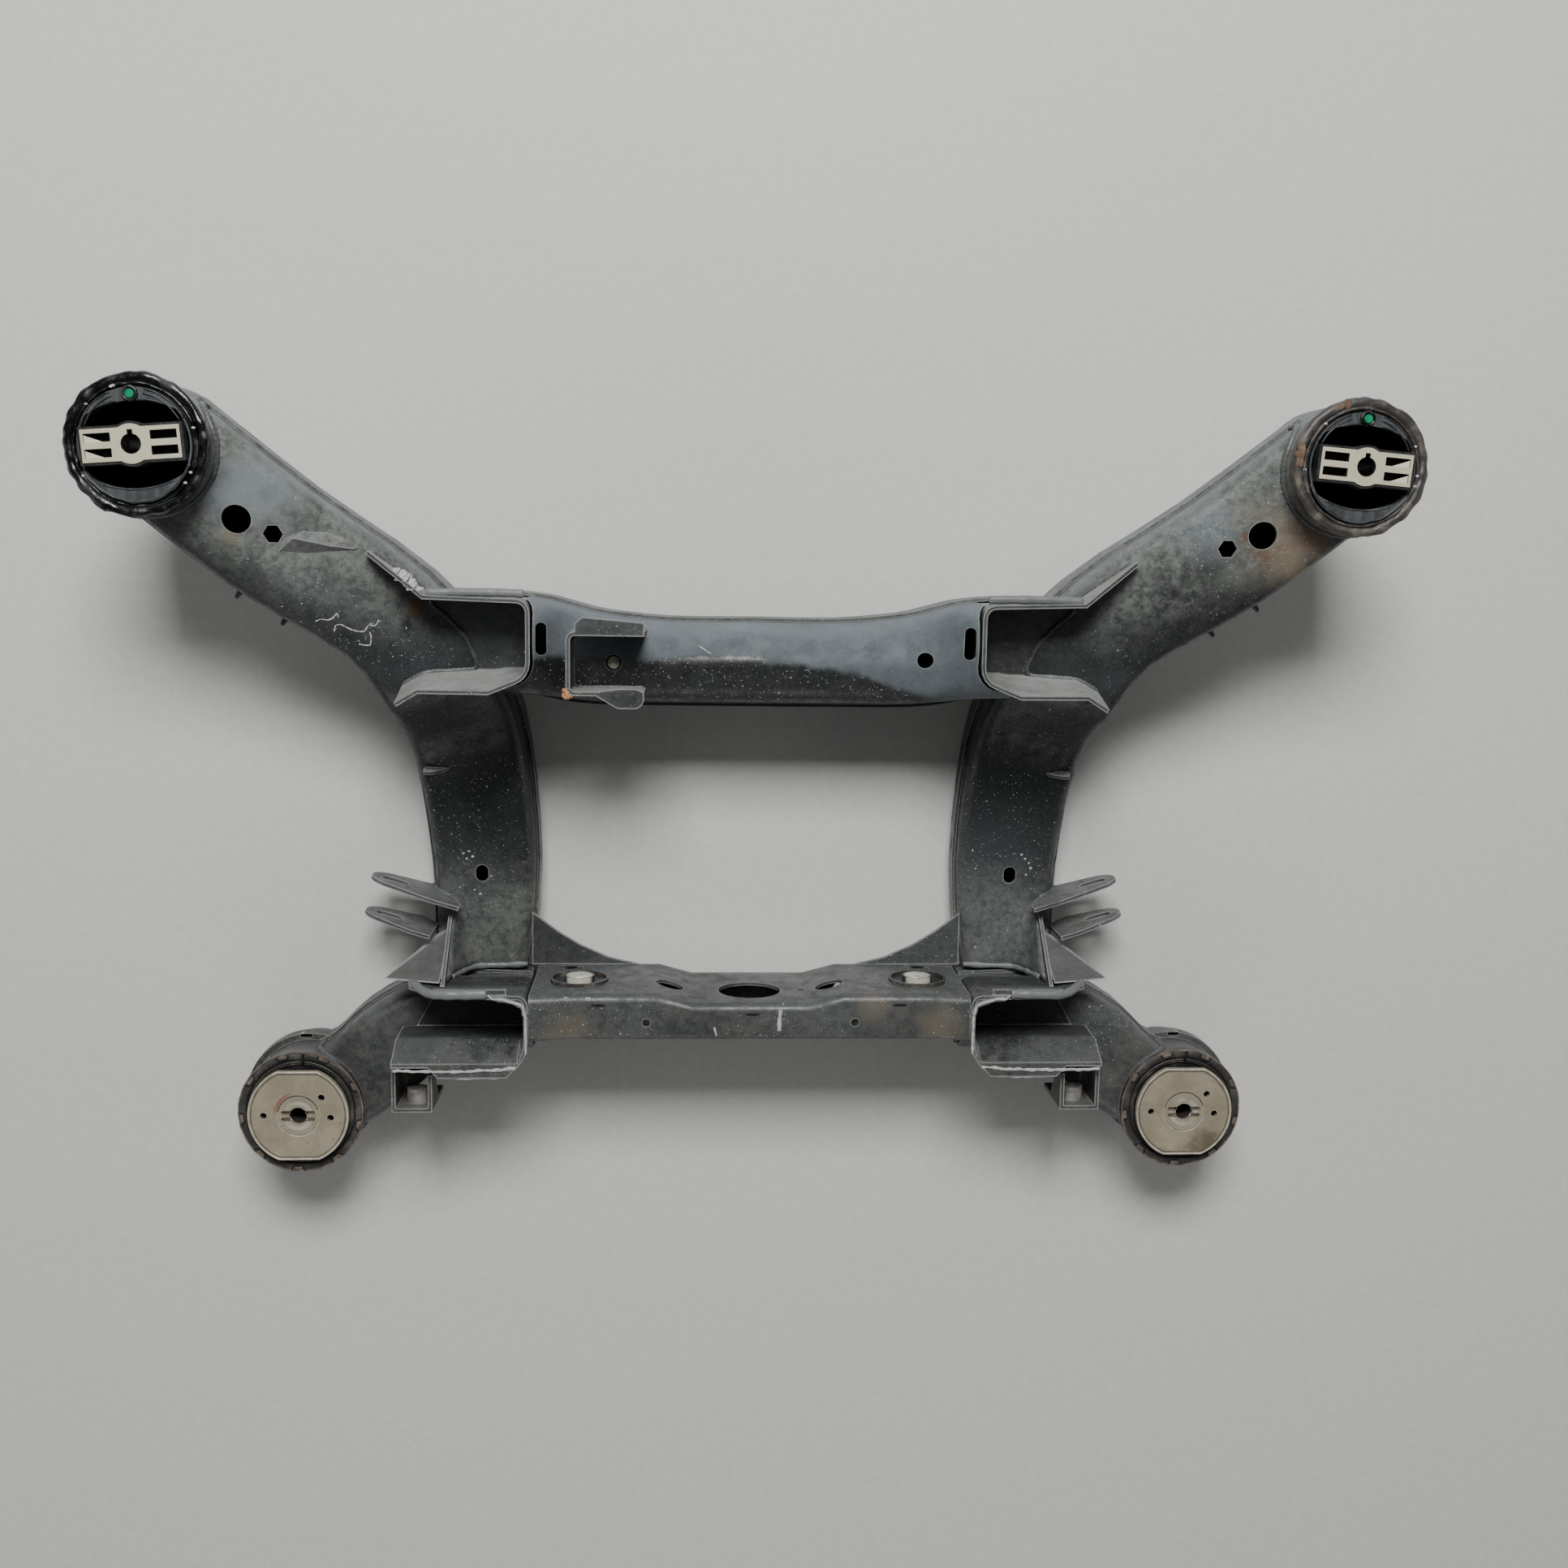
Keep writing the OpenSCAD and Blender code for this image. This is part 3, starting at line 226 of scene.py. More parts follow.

# Where dust and painted shade change along Y, in mm
ARM_DUST_Y = (100, 200)
FOOT_DUST_Y = (-50, -115)
REAR_DUST_Y = (-150, -165)
SETTLED_Y = (-120, 80)
BROWN_Y = (-100, -300)
EDGE_SHADE_Y = (100, 150)
LEG_TOP_Y = (105, 85)
LEG_LOW_Y = (-80, 20)


def painted(name, dark, light, film, edge, fleck=1.0, stain_and_shade_spots=(), dust_sheen_y=None, rim=1.6, zoned=False,
            settle=DUST_BLUE, dusty=0.6, deep_z=None):
    """Black paint with dust, flecks and worn edges; a zoned film is thick on arms, thin on legs. Painted
    shade falls along the arms' lower edge, on the legs, on faces turned towards -Y and below deep_z; spots
    give stains, and on the lower brackets painted shade; above a line, dust and a painted sheen lighten the
    front crossmember.
    """
    s = Shader(name)
    blotch = s.ramp(s.noise(7, 5), 0.35, 0.68)
    mottle = s.ramp(s.noise(60, 8, 0.7), 0.36, 0.70)
    colour = s.mix(blotch, dark, light)
    colour = s.mix(s.times(mottle, 0.5), colour, dark)
    cover = film
    if zoned:
        arms = s.across("Y", ARM_DUST_Y, 0.0, film)
        feet = s.across("Y", FOOT_DUST_Y, 0.08, 0.7 * film)
        cover = s.times(s.maths("MAXIMUM", arms, feet), s.across("Y", REAR_DUST_Y, 1.0, 0.5))
    thin = s.times(
        s.ramp(s.noise(34, 8, 0.72), 0.34, 0.6, 0.6, 1.05),
        s.ramp(s.noise(150, 6, 0.75), 0.34, 0.6, 0.45, 1.1))
    colour = s.mix(s.times(thin, cover), colour, DUST_FILM)
    up = s.times(
        s.ramp(s.normal["Y"], 0.3, 0.9),
        s.ramp(s.noise(22, 6, 0.7), 0.2, 0.7, 0.5 * dusty, dusty),
        s.across("Y", SETTLED_Y, 0.25, 1.0))
    settled = s.mix(s.ramp(s.noise(60, 6, 0.7), 0.4, 0.65, 0.0, 0.4), settle, DUST_TAN)
    colour = s.mix(up, colour, settled)
    low = s.times(s.across("Y", BROWN_Y), s.ramp(s.noise(17, 6, 0.7), 0.42, 0.78), 0.5)
    colour = s.mix(low, colour, DUST_BROWN)
    if zoned:
        # Painted shade along the arms' lower edge, where the edge rolls away from the light
        share_x = s.times(s.maths("ABSOLUTE", s.place["X"]), LOW_EDGE[0])
        inset = s.maths("ADD", share_x, s.times(s.place["Y"], LOW_EDGE[1]))
        shade = s.ramp(s.maths("ADD", inset, LOW_EDGE[2] * MM), -6 * MM, 22 * MM, 0.6, 0.0)
        colour = s.mix(s.times(shade, s.across("Y", EDGE_SHADE_Y)), colour, SOOT_AND_SHADE)
        # Painted shade on the steep upper part of the legs
        leg_shade = s.times(s.across("Y", LEG_TOP_Y), s.across("Y", LEG_LOW_Y))
        colour = s.mix(s.times(leg_shade, 0.7), colour, SOOT_AND_SHADE)
    # Painted shadow low in the lower brackets' pockets, below deep_z
    if deep_z:
        colour = s.mix(s.ramp(s.place["Z"], deep_z, deep_z - 12 * MM, 0.0, 0.6), colour, SOOT_AND_SHADE)
    # Painted shade on faces turned towards -Y, which also stand for less dust there
    colour = s.mix(s.ramp(s.normal["Y"], -0.25, -0.6, 0.0, 0.6), colour, dark)
    # Stain spots, and on the lower brackets spots of painted shade
    for place, radius, tint, strength in stain_and_shade_spots:
        colour = s.mix(s.times(s.spot(mm(*place), radius * MM), strength), colour, tint)
    spread = s.ramp(s.noise(9, 3), 0.40, 0.65, 0.15, 1.0)
    matt = 0.0
    # Above the line the crossmember is lighter and matt: dust, with a painted sheen for its lit upper half
    if dust_sheen_y:
        off = s.maths("MAXIMUM", s.maths("ADD", s.place["X"], 25 * MM), -40 * MM)
        line = s.maths("ADD", s.place["Y"], s.times(off, off, DUST_SHEEN_BOW))
        line = s.maths("ADD", line, s.ramp(s.noise(30, 5), 0.3, 0.7, -3 * MM, 3 * MM))
        above = s.ramp(line, dust_sheen_y - 4 * MM, dust_sheen_y + 4 * MM)
        cloud = s.ramp(s.noise(70, 6, 0.7), 0.2, 0.7, 0.3, 0.5)
        colour = s.mix(s.times(above, cloud), colour, DUST_BLUE)
        matt = s.ramp(above, 0, 1, 0.0, 1.0)
        spread = s.ramp(above, 0, 1, 1.0, 0.15)
    fine = s.times(s.ramp(s.noise(620, 2, 0.5), 0.66, 0.73), 0.55)
    flecks = s.times(s.maths("MAXIMUM", fine, s.ramp(s.noise(330, 2, 0.5), 0.71, 0.77)), spread, fleck)
    colour = s.mix(flecks, colour, FLECK)
    worn = s.times(s.edges(rim * MM), s.ramp(s.noise(70, 5, 0.7), 0.2, 0.5), edge)
    colour = s.mix(worn, colour, BARE_EDGE)
    rough = s.ramp(s.maths("ADD", s.maths("ADD", mottle, up), matt), 0.0, 1.8, 0.36, 0.8)
    s.set(Base_Color=colour, Roughness=rough, Specular_IOR_Level=0.42)
    grain = s.noise(420, 3, 0.7)
    s.bump(s.maths("ADD", s.times(grain, 0.35), s.times(mottle, 0.65)), 0.35 * MM, 0.6)
    return s.material


def rubbery(name, tone, dust, film, rough, lump, stop_z=None):
    """Rubber with dust; stop_z is the height of dusty end faces."""
    s = Shader(name)
    patches = s.ramp(s.noise(55, 6, 0.7), 0.45, 0.75)
    colour = s.mix(s.times(patches, dust), tone, film)
    up = s.times(s.ramp(s.normal["Y"], 0.3, 0.95), s.ramp(s.noise(40, 4), 0.3, 0.7), 0.35)
    colour = s.mix(up, colour, DUST_BLUE)
    if stop_z:
        end_face = s.ramp(s.maths("ABSOLUTE", s.maths("SUBTRACT", s.place["Z"], stop_z)), 1.2 * MM, 0.4 * MM)
        bands = s.ramp(s.noise(1.0, 3, 0.5, s.stretched((130, 25, 20))), 0.35, 0.65, 0.35, 0.95)
        colour = s.mix(s.times(end_face, bands), colour, srgb("#45484a"))
    s.set(Base_Color=colour, Roughness=s.ramp(patches, 0, 1, rough, 0.85), Specular_IOR_Level=0.5)
    s.bump(s.noise(lump, 5, 0.6), 0.8 * MM, 0.7)
    return s.material


def cast_metal(name, tone, stain, top_z=None):
    """Cast metal with painted shade on its sides and a painted shadow in the pockets below top_z."""
    s = Shader(name)
    patches = s.ramp(s.noise(60, 6, 0.7), 0.45, 0.75)
    colour = s.mix(s.times(patches, 0.55), tone, stain)
    # Painted shade on the sides, the faces turned away from +Z
    side = s.ramp(s.normal["Z"], 0.75, 0.45)
    colour = s.mix(s.times(side, 0.93), colour, srgb("#191919"))
    # Painted shadow in the pockets, below top_z
    if top_z:
        colour = s.mix(s.ramp(s.place["Z"], top_z - 2 * MM, top_z - 6 * MM, 0.0, 0.97), colour, SOOT_AND_SHADE)
    s.set(Base_Color=colour, Metallic=0.25, Roughness=s.ramp(patches, 0, 1, 0.38, 0.62))
    s.bump(s.noise(330, 4, 0.6), 0.3 * MM, 0.6)
    return s.material


WASHER_R = 11
RED_ARC_R = 19.5


def zinc(name, centres):
    """Dull zinc with grime, washer print rings, a red arc beside the left emboss, and painted highlights
    along its edges.
    """
    s = Shader(name)
    cloud = s.ramp(s.noise(26, 6, 0.65), 0.35, 0.7)
    colour = s.mix(cloud, srgb("#8f8672"), srgb("#a89f89"))
    grime = s.ramp(s.noise(90, 6, 0.75), 0.56, 0.74)
    colour = s.mix(s.times(grime, 0.6), colour, srgb("#5f5849"))
    for centre in centres.values():
        off = s.maths("ABSOLUTE", s.maths("SUBTRACT", s.gap(centre), WASHER_R * MM))
        print_ring = s.ramp(off, 2.5 * MM, 1.2 * MM)
        colour = s.mix(s.times(print_ring, s.ramp(s.noise(70, 4), 0.3, 0.6), 0.6), colour, srgb("#c6c5bb"))
    centre = centres["left"]
    off = s.maths("ABSOLUTE", s.maths("SUBTRACT", s.gap(centre), RED_ARC_R * MM))
    corner = s.times(
        s.ramp(s.place["X"], centre.x - 2 * MM, centre.x - 12 * MM),
        s.ramp(s.place["Y"], centre.y - 3 * MM, centre.y + 8 * MM))
    colour = s.mix(s.times(s.ramp(off, 2.6 * MM, 0.8 * MM), corner, 0.7), colour, srgb("#8e4a36"))
    dirt = s.spot(centres["right"] + mm(22, -30, 0), 17 * MM)
    colour = s.mix(s.times(dirt, 0.8), colour, srgb("#5f5644"))
    # Painted highlight along the disc's edges
    colour = s.mix(s.times(s.edges(1.2 * MM), 0.8), colour, srgb("#cfcabb"))
    s.set(Base_Color=colour, Metallic=0.25, Roughness=s.ramp(grime, 0, 1, 0.45, 0.7))
    s.bump(s.noise(240, 4, 0.6), 0.2 * MM, 0.5)
    return s.material


def plain(name, tone, second, rough, metal=0.0, scale=120):
    s = Shader(name)
    share = s.ramp(s.noise(scale, 5, 0.65), 0.4, 0.7)
    s.set(Base_Color=s.mix(share, tone, second), Roughness=rough, Metallic=metal)
    s.bump(s.noise(500, 3), 0.15 * MM, 0.5)
    return s.material


# Geometry helpers


def smooth_group(angle):
    """Modifier group that shades smoothly except across edges sharper than the angle."""
    group = bpy.data.node_groups.new("smooth_by_angle", "GeometryNodeTree")
    group.interface.new_socket("Geometry", in_out="INPUT", socket_type="NodeSocketGeometry")
    group.interface.new_socket("Geometry", in_out="OUTPUT", socket_type="NodeSocketGeometry")
    start = group.nodes.new("NodeGroupInput")
    end = group.nodes.new("NodeGroupOutput")
    merge = group.nodes.new("GeometryNodeMergeByDistance")
    merge.inputs["Distance"].default_value = 0.005 * MM
    bend = group.nodes.new("GeometryNodeInputMeshEdgeAngle")
    sharp = group.nodes.new("FunctionNodeCompare")
    sharp.operation = "GREATER_THAN"
    sharp.inputs[1].default_value = angle
    shade = group.nodes.new("GeometryNodeSetMeshNormal")
    shade.mode = "SHARPNESS"
    shade.inputs["Remove Custom"].default_value = True
    shade.inputs["Face Sharpness"].default_value = False
    for a, b in ((start.outputs[0], merge.inputs["Geometry"]), (merge.outputs[0], shade.inputs["Mesh"]),
                 (bend.outputs["Unsigned Angle"], sharp.inputs[0]),
                 (sharp.outputs[0], shade.inputs["Edge Sharpness"]), (shade.outputs[0], end.inputs[0])):
        group.links.new(a, b)
    return group


def surface(node):
    mesh = nodes[node].data
    return BVHTree.FromPolygons([v.co for v in mesh.vertices], [p.vertices for p in mesh.polygons])


def laid(node, points):
    """Nearest places on a node's surface, with their normals."""
    tree = surface(node)
    found = [tree.find_nearest(p) for p in points]
    return [f[0] for f in found], [f[1] for f in found]


def resampled(line, step):
    out = [line[0]]
    left = step
    for a, b in zip(line, line[1:]):
        gap = (b - a).length
        while gap >= left:
            a = a.lerp(b, left / gap)
            gap -= left
            left = step
            out.append(a)
        left -= gap
    return out


def eased(points, times=3):
    """Rounds the corners of a line of points, ends kept."""
    for _ in range(times):
        inner = [(a + 2 * b + c) / 4 for a, b, c in zip(points, points[1:], points[2:])]
        points = [points[0]] + inner + [points[-1]]
    return points


BAR_SIDES = 8


class Trim:
    """Mesh of a small added piece."""

    def __init__(self):
        self.verts = []
        self.faces = []

    def bar(self, points, wide, high, ups=None, closed=False):
        """Bar of oval section along points; wide and high are its half sizes at each point."""
        n = len(points)
        first = len(self.verts)
        for i, p in enumerate(points):
            before = points[i - 1] if closed or i else p
            after = points[(i + 1) % n] if closed or i < n - 1 else p
            along = (after - before).normalized()
            side = along.cross(ups[i] if ups else UP)
            if side.length < 0.1:
                side = along.cross(Vector((1, 0, 0)))
            side.normalize()
            top = side.cross(along)
            for k in range(BAR_SIDES):
                a = 2 * math.pi * k / BAR_SIDES
                self.verts.append(p + side * math.cos(a) * wide[i] + top * math.sin(a) * high[i])
        for i in range(n if closed else n - 1):
            for k in range(BAR_SIDES):
                a = first + i * BAR_SIDES
                b = first + (i + 1) % n * BAR_SIDES
                j = (k + 1) % BAR_SIDES
                self.faces.append((a + k, b + k, b + j, a + j))
        if not closed:
            last = first + (n - 1) * BAR_SIDES
            self.faces.append(tuple(first + k for k in range(BAR_SIDES)))
            self.faces.append(tuple(last + k for k in reversed(range(BAR_SIDES))))

    def even_bar(self, points, wide, high, rough=0.0, scale=150, ups=None, closed=False):
        """Bar whose size wavers by a share."""
        waver = [1 + rough * noise.noise(p * scale) for p in points]
        self.bar(points, [wide * w for w in waver], [high * w for w in waver], ups, closed)

    def lump(self, centre, size, normal=UP, rough=0.0):
        """Flattened ball; size is its half width, half length along Y and half height."""
        turn = UP.rotation_difference(normal).to_matrix()
        rings, around = 6, 14
        first = len(self.verts)
        for i in range(1, rings):
            b = math.pi * i / rings
            for k in range(around):
                a = 2 * math.pi * k / around
                p = Vector((math.sin(b) * math.cos(a) * size[0], math.sin(b) * math.sin(a) * size[1],
                            math.cos(b) * size[2]))
                waver = 1 + rough * noise.noise((centre + p) * 260)
                self.verts.append(centre + turn @ p * waver)
        top = len(self.verts)
        self.verts.append(centre + turn @ Vector((0, 0, size[2])))
        self.verts.append(centre - turn @ Vector((0, 0, size[2])))
        for k in range(around):
            j = (k + 1) % around
            self.faces.append((top, first + k, first + j))
            for i in range(rings - 2):
                a = first + i * around
                b = a + around
                self.faces.append((a + k, b + k, b + j, a + j))
            last = first + (rings - 2) * around
            self.faces.append((top + 1, last + j, last + k))

    def block(self, low, high):
        """Prism between two outlines of equal length, both turning anticlockwise from above."""
        n = len(low)
        first = len(self.verts)
        self.verts += low + high
        self.faces.append(tuple(first + k for k in reversed(range(n))))
        self.faces.append(tuple(first + n + k for k in range(n)))
        for k in range(n):
            j = (k + 1) % n
            self.faces.append((first + k, first + j, first + n + j, first + n + k))

    def piece(self, name, material, slot, smooth=True):
        mesh = bpy.data.meshes.new(name)
        mesh.from_pydata(self.verts, [], self.faces)
        mesh.update()
        for polygon in mesh.polygons:
            polygon.use_smooth = smooth
        made = bpy.data.objects.new(name, mesh)
        bpy.context.scene.collection.objects.link(made)
        mesh.materials.append(material)
        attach(made, "root")


def arc(centre, radius, start, end, wobble=0.0, lumps=1.0, step=3):
    """Points round a vertical axis through centre, angles in degrees; wobble moves them in and out."""
    count = max(2, round(abs(end - start) / step))
    full = abs(end - start) >= 360
    out = []
    for i in range(count if full else count + 1):
        a = math.radians(start + (end - start) * i / count)
        way = Vector((math.cos(a), math.sin(a), 0))
        out.append(centre + way * (radius + wobble * noise.noise(way * lumps + centre * 40)))
    return out


def seam_lines(node, carriers, reach):
    """Polylines of a node's sharp edges that lie against one of the carriers."""
    trees = [surface(c) for c in carriers]
    bm = bmesh.new()
    bm.from_mesh(nodes[node].data)
    bmesh.ops.remove_doubles(bm, verts=bm.verts, dist=0.005 * MM)

    def near(point):
        return any((t.find_nearest(point, reach)[0] is not None) for t in trees)

    links = {}
    for edge in bm.edges:
        if len(edge.link_faces) != 2 or edge.calc_face_angle(0) < math.radians(25):
            continue
        a, b = edge.verts
        if near(a.co) and near(b.co) and near((a.co + b.co) / 2):
            links.setdefault(a.index, []).append(b.index)
            links.setdefault(b.index, []).append(a.index)
    bm.verts.ensure_lookup_table()
    lines = []
    while links:
        ends = [k for k in sorted(links) if len(links[k]) == 1]
        at = ends[0] if ends else min(links)
        line = [at]
        while links.get(at):
            to = links[at].pop(0)
            links[to].remove(at)
            if not links[at]:
                del links[at]
            line.append(to)
            at = to
        links = {k: v for k, v in links.items() if v}
        lines.append([bm.verts[i].co.copy() for i in line])
    bm.free()
    return lines


BEAD_STEP = 1.8 * MM
RIPPLE = 4.2 * MM


def weld(trim, line, radius):
    """Adds a rippled weld bead along a line."""
    points = resampled(line, BEAD_STEP)
    if len(points) < 5:
        return
    points = eased(points)
    sizes = []
    for i, p in enumerate(points):
        fade = min(1.0, 0.45 + 0.25 * min(i, len(points) - 1 - i))
        wave = 1 + 0.16 * math.sin(2 * math.pi * i * BEAD_STEP / RIPPLE) + 0.22 * noise.noise(p * 120)
        sizes.append(radius * fade * wave)
    trim.bar(points, sizes, sizes, [Vector((0.13, 0.21, 0.97))] * len(points))


# Places of the mounts, from the frame


def axis_of(node):
    low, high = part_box(node)
    return Vector(((low.x + high.x) / 2, (low.y + high.y) / 2, high.z))


wide_flange = {side: axis_of(f"front_bush_shell_{side}") for side in SIDES}
wide_stop_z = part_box("front_bush_rubber_left")[0].z + 79 * MM
narrow_flange = {side: axis_of(f"rear_bush_shell_{side}") for side in SIDES}
disc_top = {side: axis_of(f"rear_stop_disc_{side}") for side in SIDES}
core_top_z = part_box("front_bush_core_left")[1].z
BEAM_DUST_SHEEN_Y = 121 * MM

# Materials for every CAD node

member_paint = painted("member_paint", PAINT_DARK, PAINT_LIGHT, 0.75, 0.8, 1.0, STAINS, zoned=True)
beam_paint = painted("beam_paint", SOOT_AND_SHADE, srgb("#232628"), 0.10, 0.55, 1.3, (), BEAM_DUST_SHEEN_Y)
bracket_paint = painted(
    "bracket_paint", srgb("#1d1f20"), srgb("#3a3d3f"), 0.18, 1.0, rim=2.4, settle=SETTLED, dusty=1.0)
lower_paint = painted(
    "lower_paint", srgb("#1d1f20"), srgb("#3a3d3f"), 0.25, 1.0, 1.0, LOWER_SHADE_SPOTS, rim=2.4, deep_z=0.122)
# Lighter copy of the bracket paint for the rolled lips: dust and a painted highlight
lip_dust_and_highlight = painted("lip_dust_and_highlight", srgb("#55585a"), srgb("#777a7b"), 0.40, 0.0, 0.6)
weld_paint = painted("weld_paint", srgb("#222426"), srgb("#3f4245"), 0.35, 0.0, 0.3)
tar_black = rubbery("tar_black", srgb("#080808"), 0.10, DUST_FILM, 0.20, 120)
shell_dusty = rubbery("shell_dusty", srgb("#33302d"), 0.75, srgb("#7f776b"), 0.45, 90)
band_dusty = rubbery("band_dusty", srgb("#2f2e2c"), 0.8, srgb("#5a5750"), 0.5, 90)
tag_brown = plain("tag_brown", srgb("#4e463e"), srgb("#7b7063"), 0.8)
rubber_black = rubbery("rubber_black", srgb("#0b0b0b"), 0.12, DUST_FILM, 0.48, 160, wide_stop_z)
fold_grey = rubbery("fold_grey", srgb("#26282a"), 0.5, DUST_FILM, 0.40, 120)
core_cast = cast_metal("core_cast", srgb("#cfcbb9"), srgb("#a79f84"))
bar_cast = cast_metal("bar_cast", srgb("#c9c4ab"), srgb("#97906f"), core_top_z)
disc_zinc = zinc("disc_zinc", disc_top)
# Lighter zinc as a painted highlight: the stop discs' rolled rim, the emboss's lower arc, and the bolt in
# the floor hole
zinc_highlight = plain("zinc_highlight", srgb("#bdb7a6"), srgb("#948e7e"), 0.45, 0.25)
nut_dull = plain("nut_dull", srgb("#8d8a84"), srgb("#63605b"), 0.6, 0.2)
core_bright = plain("core_bright", srgb("#d6d4cc"), srgb("#a9a69c"), 0.35, 0.3)
# Dark zinc for painted shadow in the stop discs' grooves and slots and on the emboss's upper half
groove_shadow = plain("groove_shadow", srgb("#5d5546"), srgb("#453f34"), 0.8)
plug_green = plain("plug_green", srgb("#12875a"), srgb("#1a6b4b"), 0.18)
rust_brown = plain("rust_brown", srgb("#5d4636"), srgb("#7d6c5c"), 0.85)
rust_orange = plain("rust_orange", srgb("#a8703f"), srgb("#cdb592"), 0.85, 0.0, 400)
pale_chip = plain("pale_chip", srgb("#b4b6b3"), srgb("#8d908e"), 0.7, 0.0, 300)
# Near black for painted shadow in grooves, the slit, holes and drain slits
shadow_black = plain("shadow_black", srgb("#050505"), srgb("#0b0b0b"), 0.9)

FINISH = {
    "member_paint": member_paint, "bracket_paint": bracket_paint, "bush_shell": shell_dusty,
    "rubber": rubber_black, "cast_core": core_cast, "stop_disc": disc_zinc,
    "nut_steel": nut_dull, "plug": plug_green}
OWN_FINISH = {
    "front_bush_shell_left": tar_black, "front_crossmember_upper_shell": beam_paint,
    "front_bush_core_left": bar_cast, "front_bush_core_right": bar_cast,
    "lower_link_bracket_left": lower_paint, "lower_link_bracket_right": lower_paint}
slot_of = {s["node"]: s["material_slot"] for s in frame["record"]["subparts"]}
smoother = smooth_group(math.radians(33))
for name, obj in nodes.items():
    obj.data.materials.clear()
    obj.data.materials.append(OWN_FINISH.get(name, FINISH[slot_of[name]]))
    obj.modifiers.new("smooth", "NODES").node_group = smoother

# Weld beads, found where a piece's edges lie against what carries it; radius in mm

SEAMS = (
    ("upper_link_bracket", ("side_member_upper_shell",), 2.2),
    ("lower_link_bracket", ("rear_arm_upper_shell",), 2.2),
    ("side_member_upper_shell", ("front_eye",), 3.0),
    ("rear_arm_upper_shell", ("rear_eye",), 3.0),
    ("front_toe_link_ear", ("side_member_upper_shell", "side_member_back_shell"), 2.2),
    ("rear_toe_link_ear", ("side_member_upper_shell", "side_member_back_shell"), 2.2),
    ("stiffening_rib", ("side_member_upper_shell",), 1.8),
    ("leg_tab", ("side_member_upper_shell", "side_member_back_shell"), 1.5),
    ("anti_roll_bar_bracket", ("rear_arm_upper_shell", "lower_link_bracket"), 1.8),
)
REACH = 0.9 * MM
for side in SIDES:
    trim = Trim()
    for node, carriers, radius in SEAMS:
        for line in seam_lines(f"{node}_{side}", [f"{c}_{side}" for c in carriers], REACH):
            weld(trim, line, radius * MM)
    trim.piece(f"weld_beads_{side}", weld_paint, "member_paint")
trim = Trim()
for line in seam_lines("differential_bracket", ["front_crossmember_upper_shell"], REACH):
    weld(trim, line, 1.8 * MM)
trim.piece("weld_beads_middle", weld_paint, "bracket_paint")

# Wide-end mounts: lumpy flange, folds of the bump stops, plug seat, sloped pocket floors

CORE_TILT = math.radians(4.5)
FLANGE_R, FLANGE_LIP_R = 50, 45.2
STOP_LIP_R = 42.4
BUMP_R = 70
BUMP_Y = 32.2
PLUG = (2, 37.2)
POCKET_OUT, POCKET_IN = 34, 21
POCKET_V, POCKET_HALF = 5.8, 3.2


def lumpy_flange(centre):
    trim = Trim()
    ring = arc(centre + mm(0, 0, 1.2), FLANGE_R * MM, 0, 360, 0.9 * MM, 7)
    trim.even_bar(ring, 4 * MM, 2.6 * MM, 0.4, 130, closed=True)
    inner = arc(centre + mm(0, 0, 2), FLANGE_LIP_R * MM, 0, 360, 0.6 * MM, 5)
    trim.even_bar(inner, 1.3 * MM, 2 * MM, 0.5, 160, closed=True)
    return trim


def stop_folds(side, centre):
    """Lips and ridges on the two bump stops; angles as the right-hand mount has them."""
    trim = Trim()
    tilt = -CORE_TILT * SIDES[side]
    turn = Matrix.Rotation(tilt, 4, "Z")
    top = Vector((centre.x, centre.y, wide_stop_z))

    def turned(points):
        return [top + turn @ (p - top) for p in points]

    lip = turned(arc(top + mm(0, 0, 0.4), STOP_LIP_R * MM, 203, 337, 0.9 * MM, 6))
    trim.even_bar(lip, 1.1 * MM, 0.9 * MM, 0.4, 140)
    for start, end in ((24, 74), (110, 156)):
        for radius in (38.4, 41.8):
            ridge = turned(arc(top + mm(0, 0, 0.3), radius * MM, start, end, 0.4 * MM, 6))
            trim.even_bar(ridge, 0.6 * MM, 0.7 * MM, 0.4)
    for s in (-1, 1):
        edge = [top + mm(x, s * (math.sqrt(BUMP_R ** 2 - x * x) - BUMP_R + BUMP_Y + 0.9), 0)
                for x in range(-26, 27, 2)]
        if s == 1:
            halves = (edge[:11], edge[18:]) if SIDES[side] > 0 else (edge[:9], edge[16:])
        else:
            halves = (edge,)
        for half in halves:
            trim.even_bar(turned(half), 0.8 * MM, 0.7 * MM, 0.3)
    return trim


def pocket_floors(side, centre):
    """Sloped metal at the outer ends of the core bar's pockets."""
    trim = Trim()
    sx = SIDES[side]
    turn = Matrix.Rotation(-CORE_TILT * sx, 4, "Z")
    base = Vector((centre.x, centre.y, core_top_z))
    for v in (-POCKET_V, POCKET_V):
        low_v = v - POCKET_HALF
        flat = [(POCKET_OUT, low_v), (POCKET_OUT, v + POCKET_HALF - 1), (POCKET_IN, low_v)]
        if sx < 0:
            flat.reverse()
        heights = {POCKET_OUT: -0.8, POCKET_IN: -4.5}
        low = [base + turn @ mm(sx * x, y, -11.5) for x, y in flat]
        high = [base + turn @ mm(sx * x, y, heights[x]) for x, y in flat]
        trim.block(low, high)
    return trim


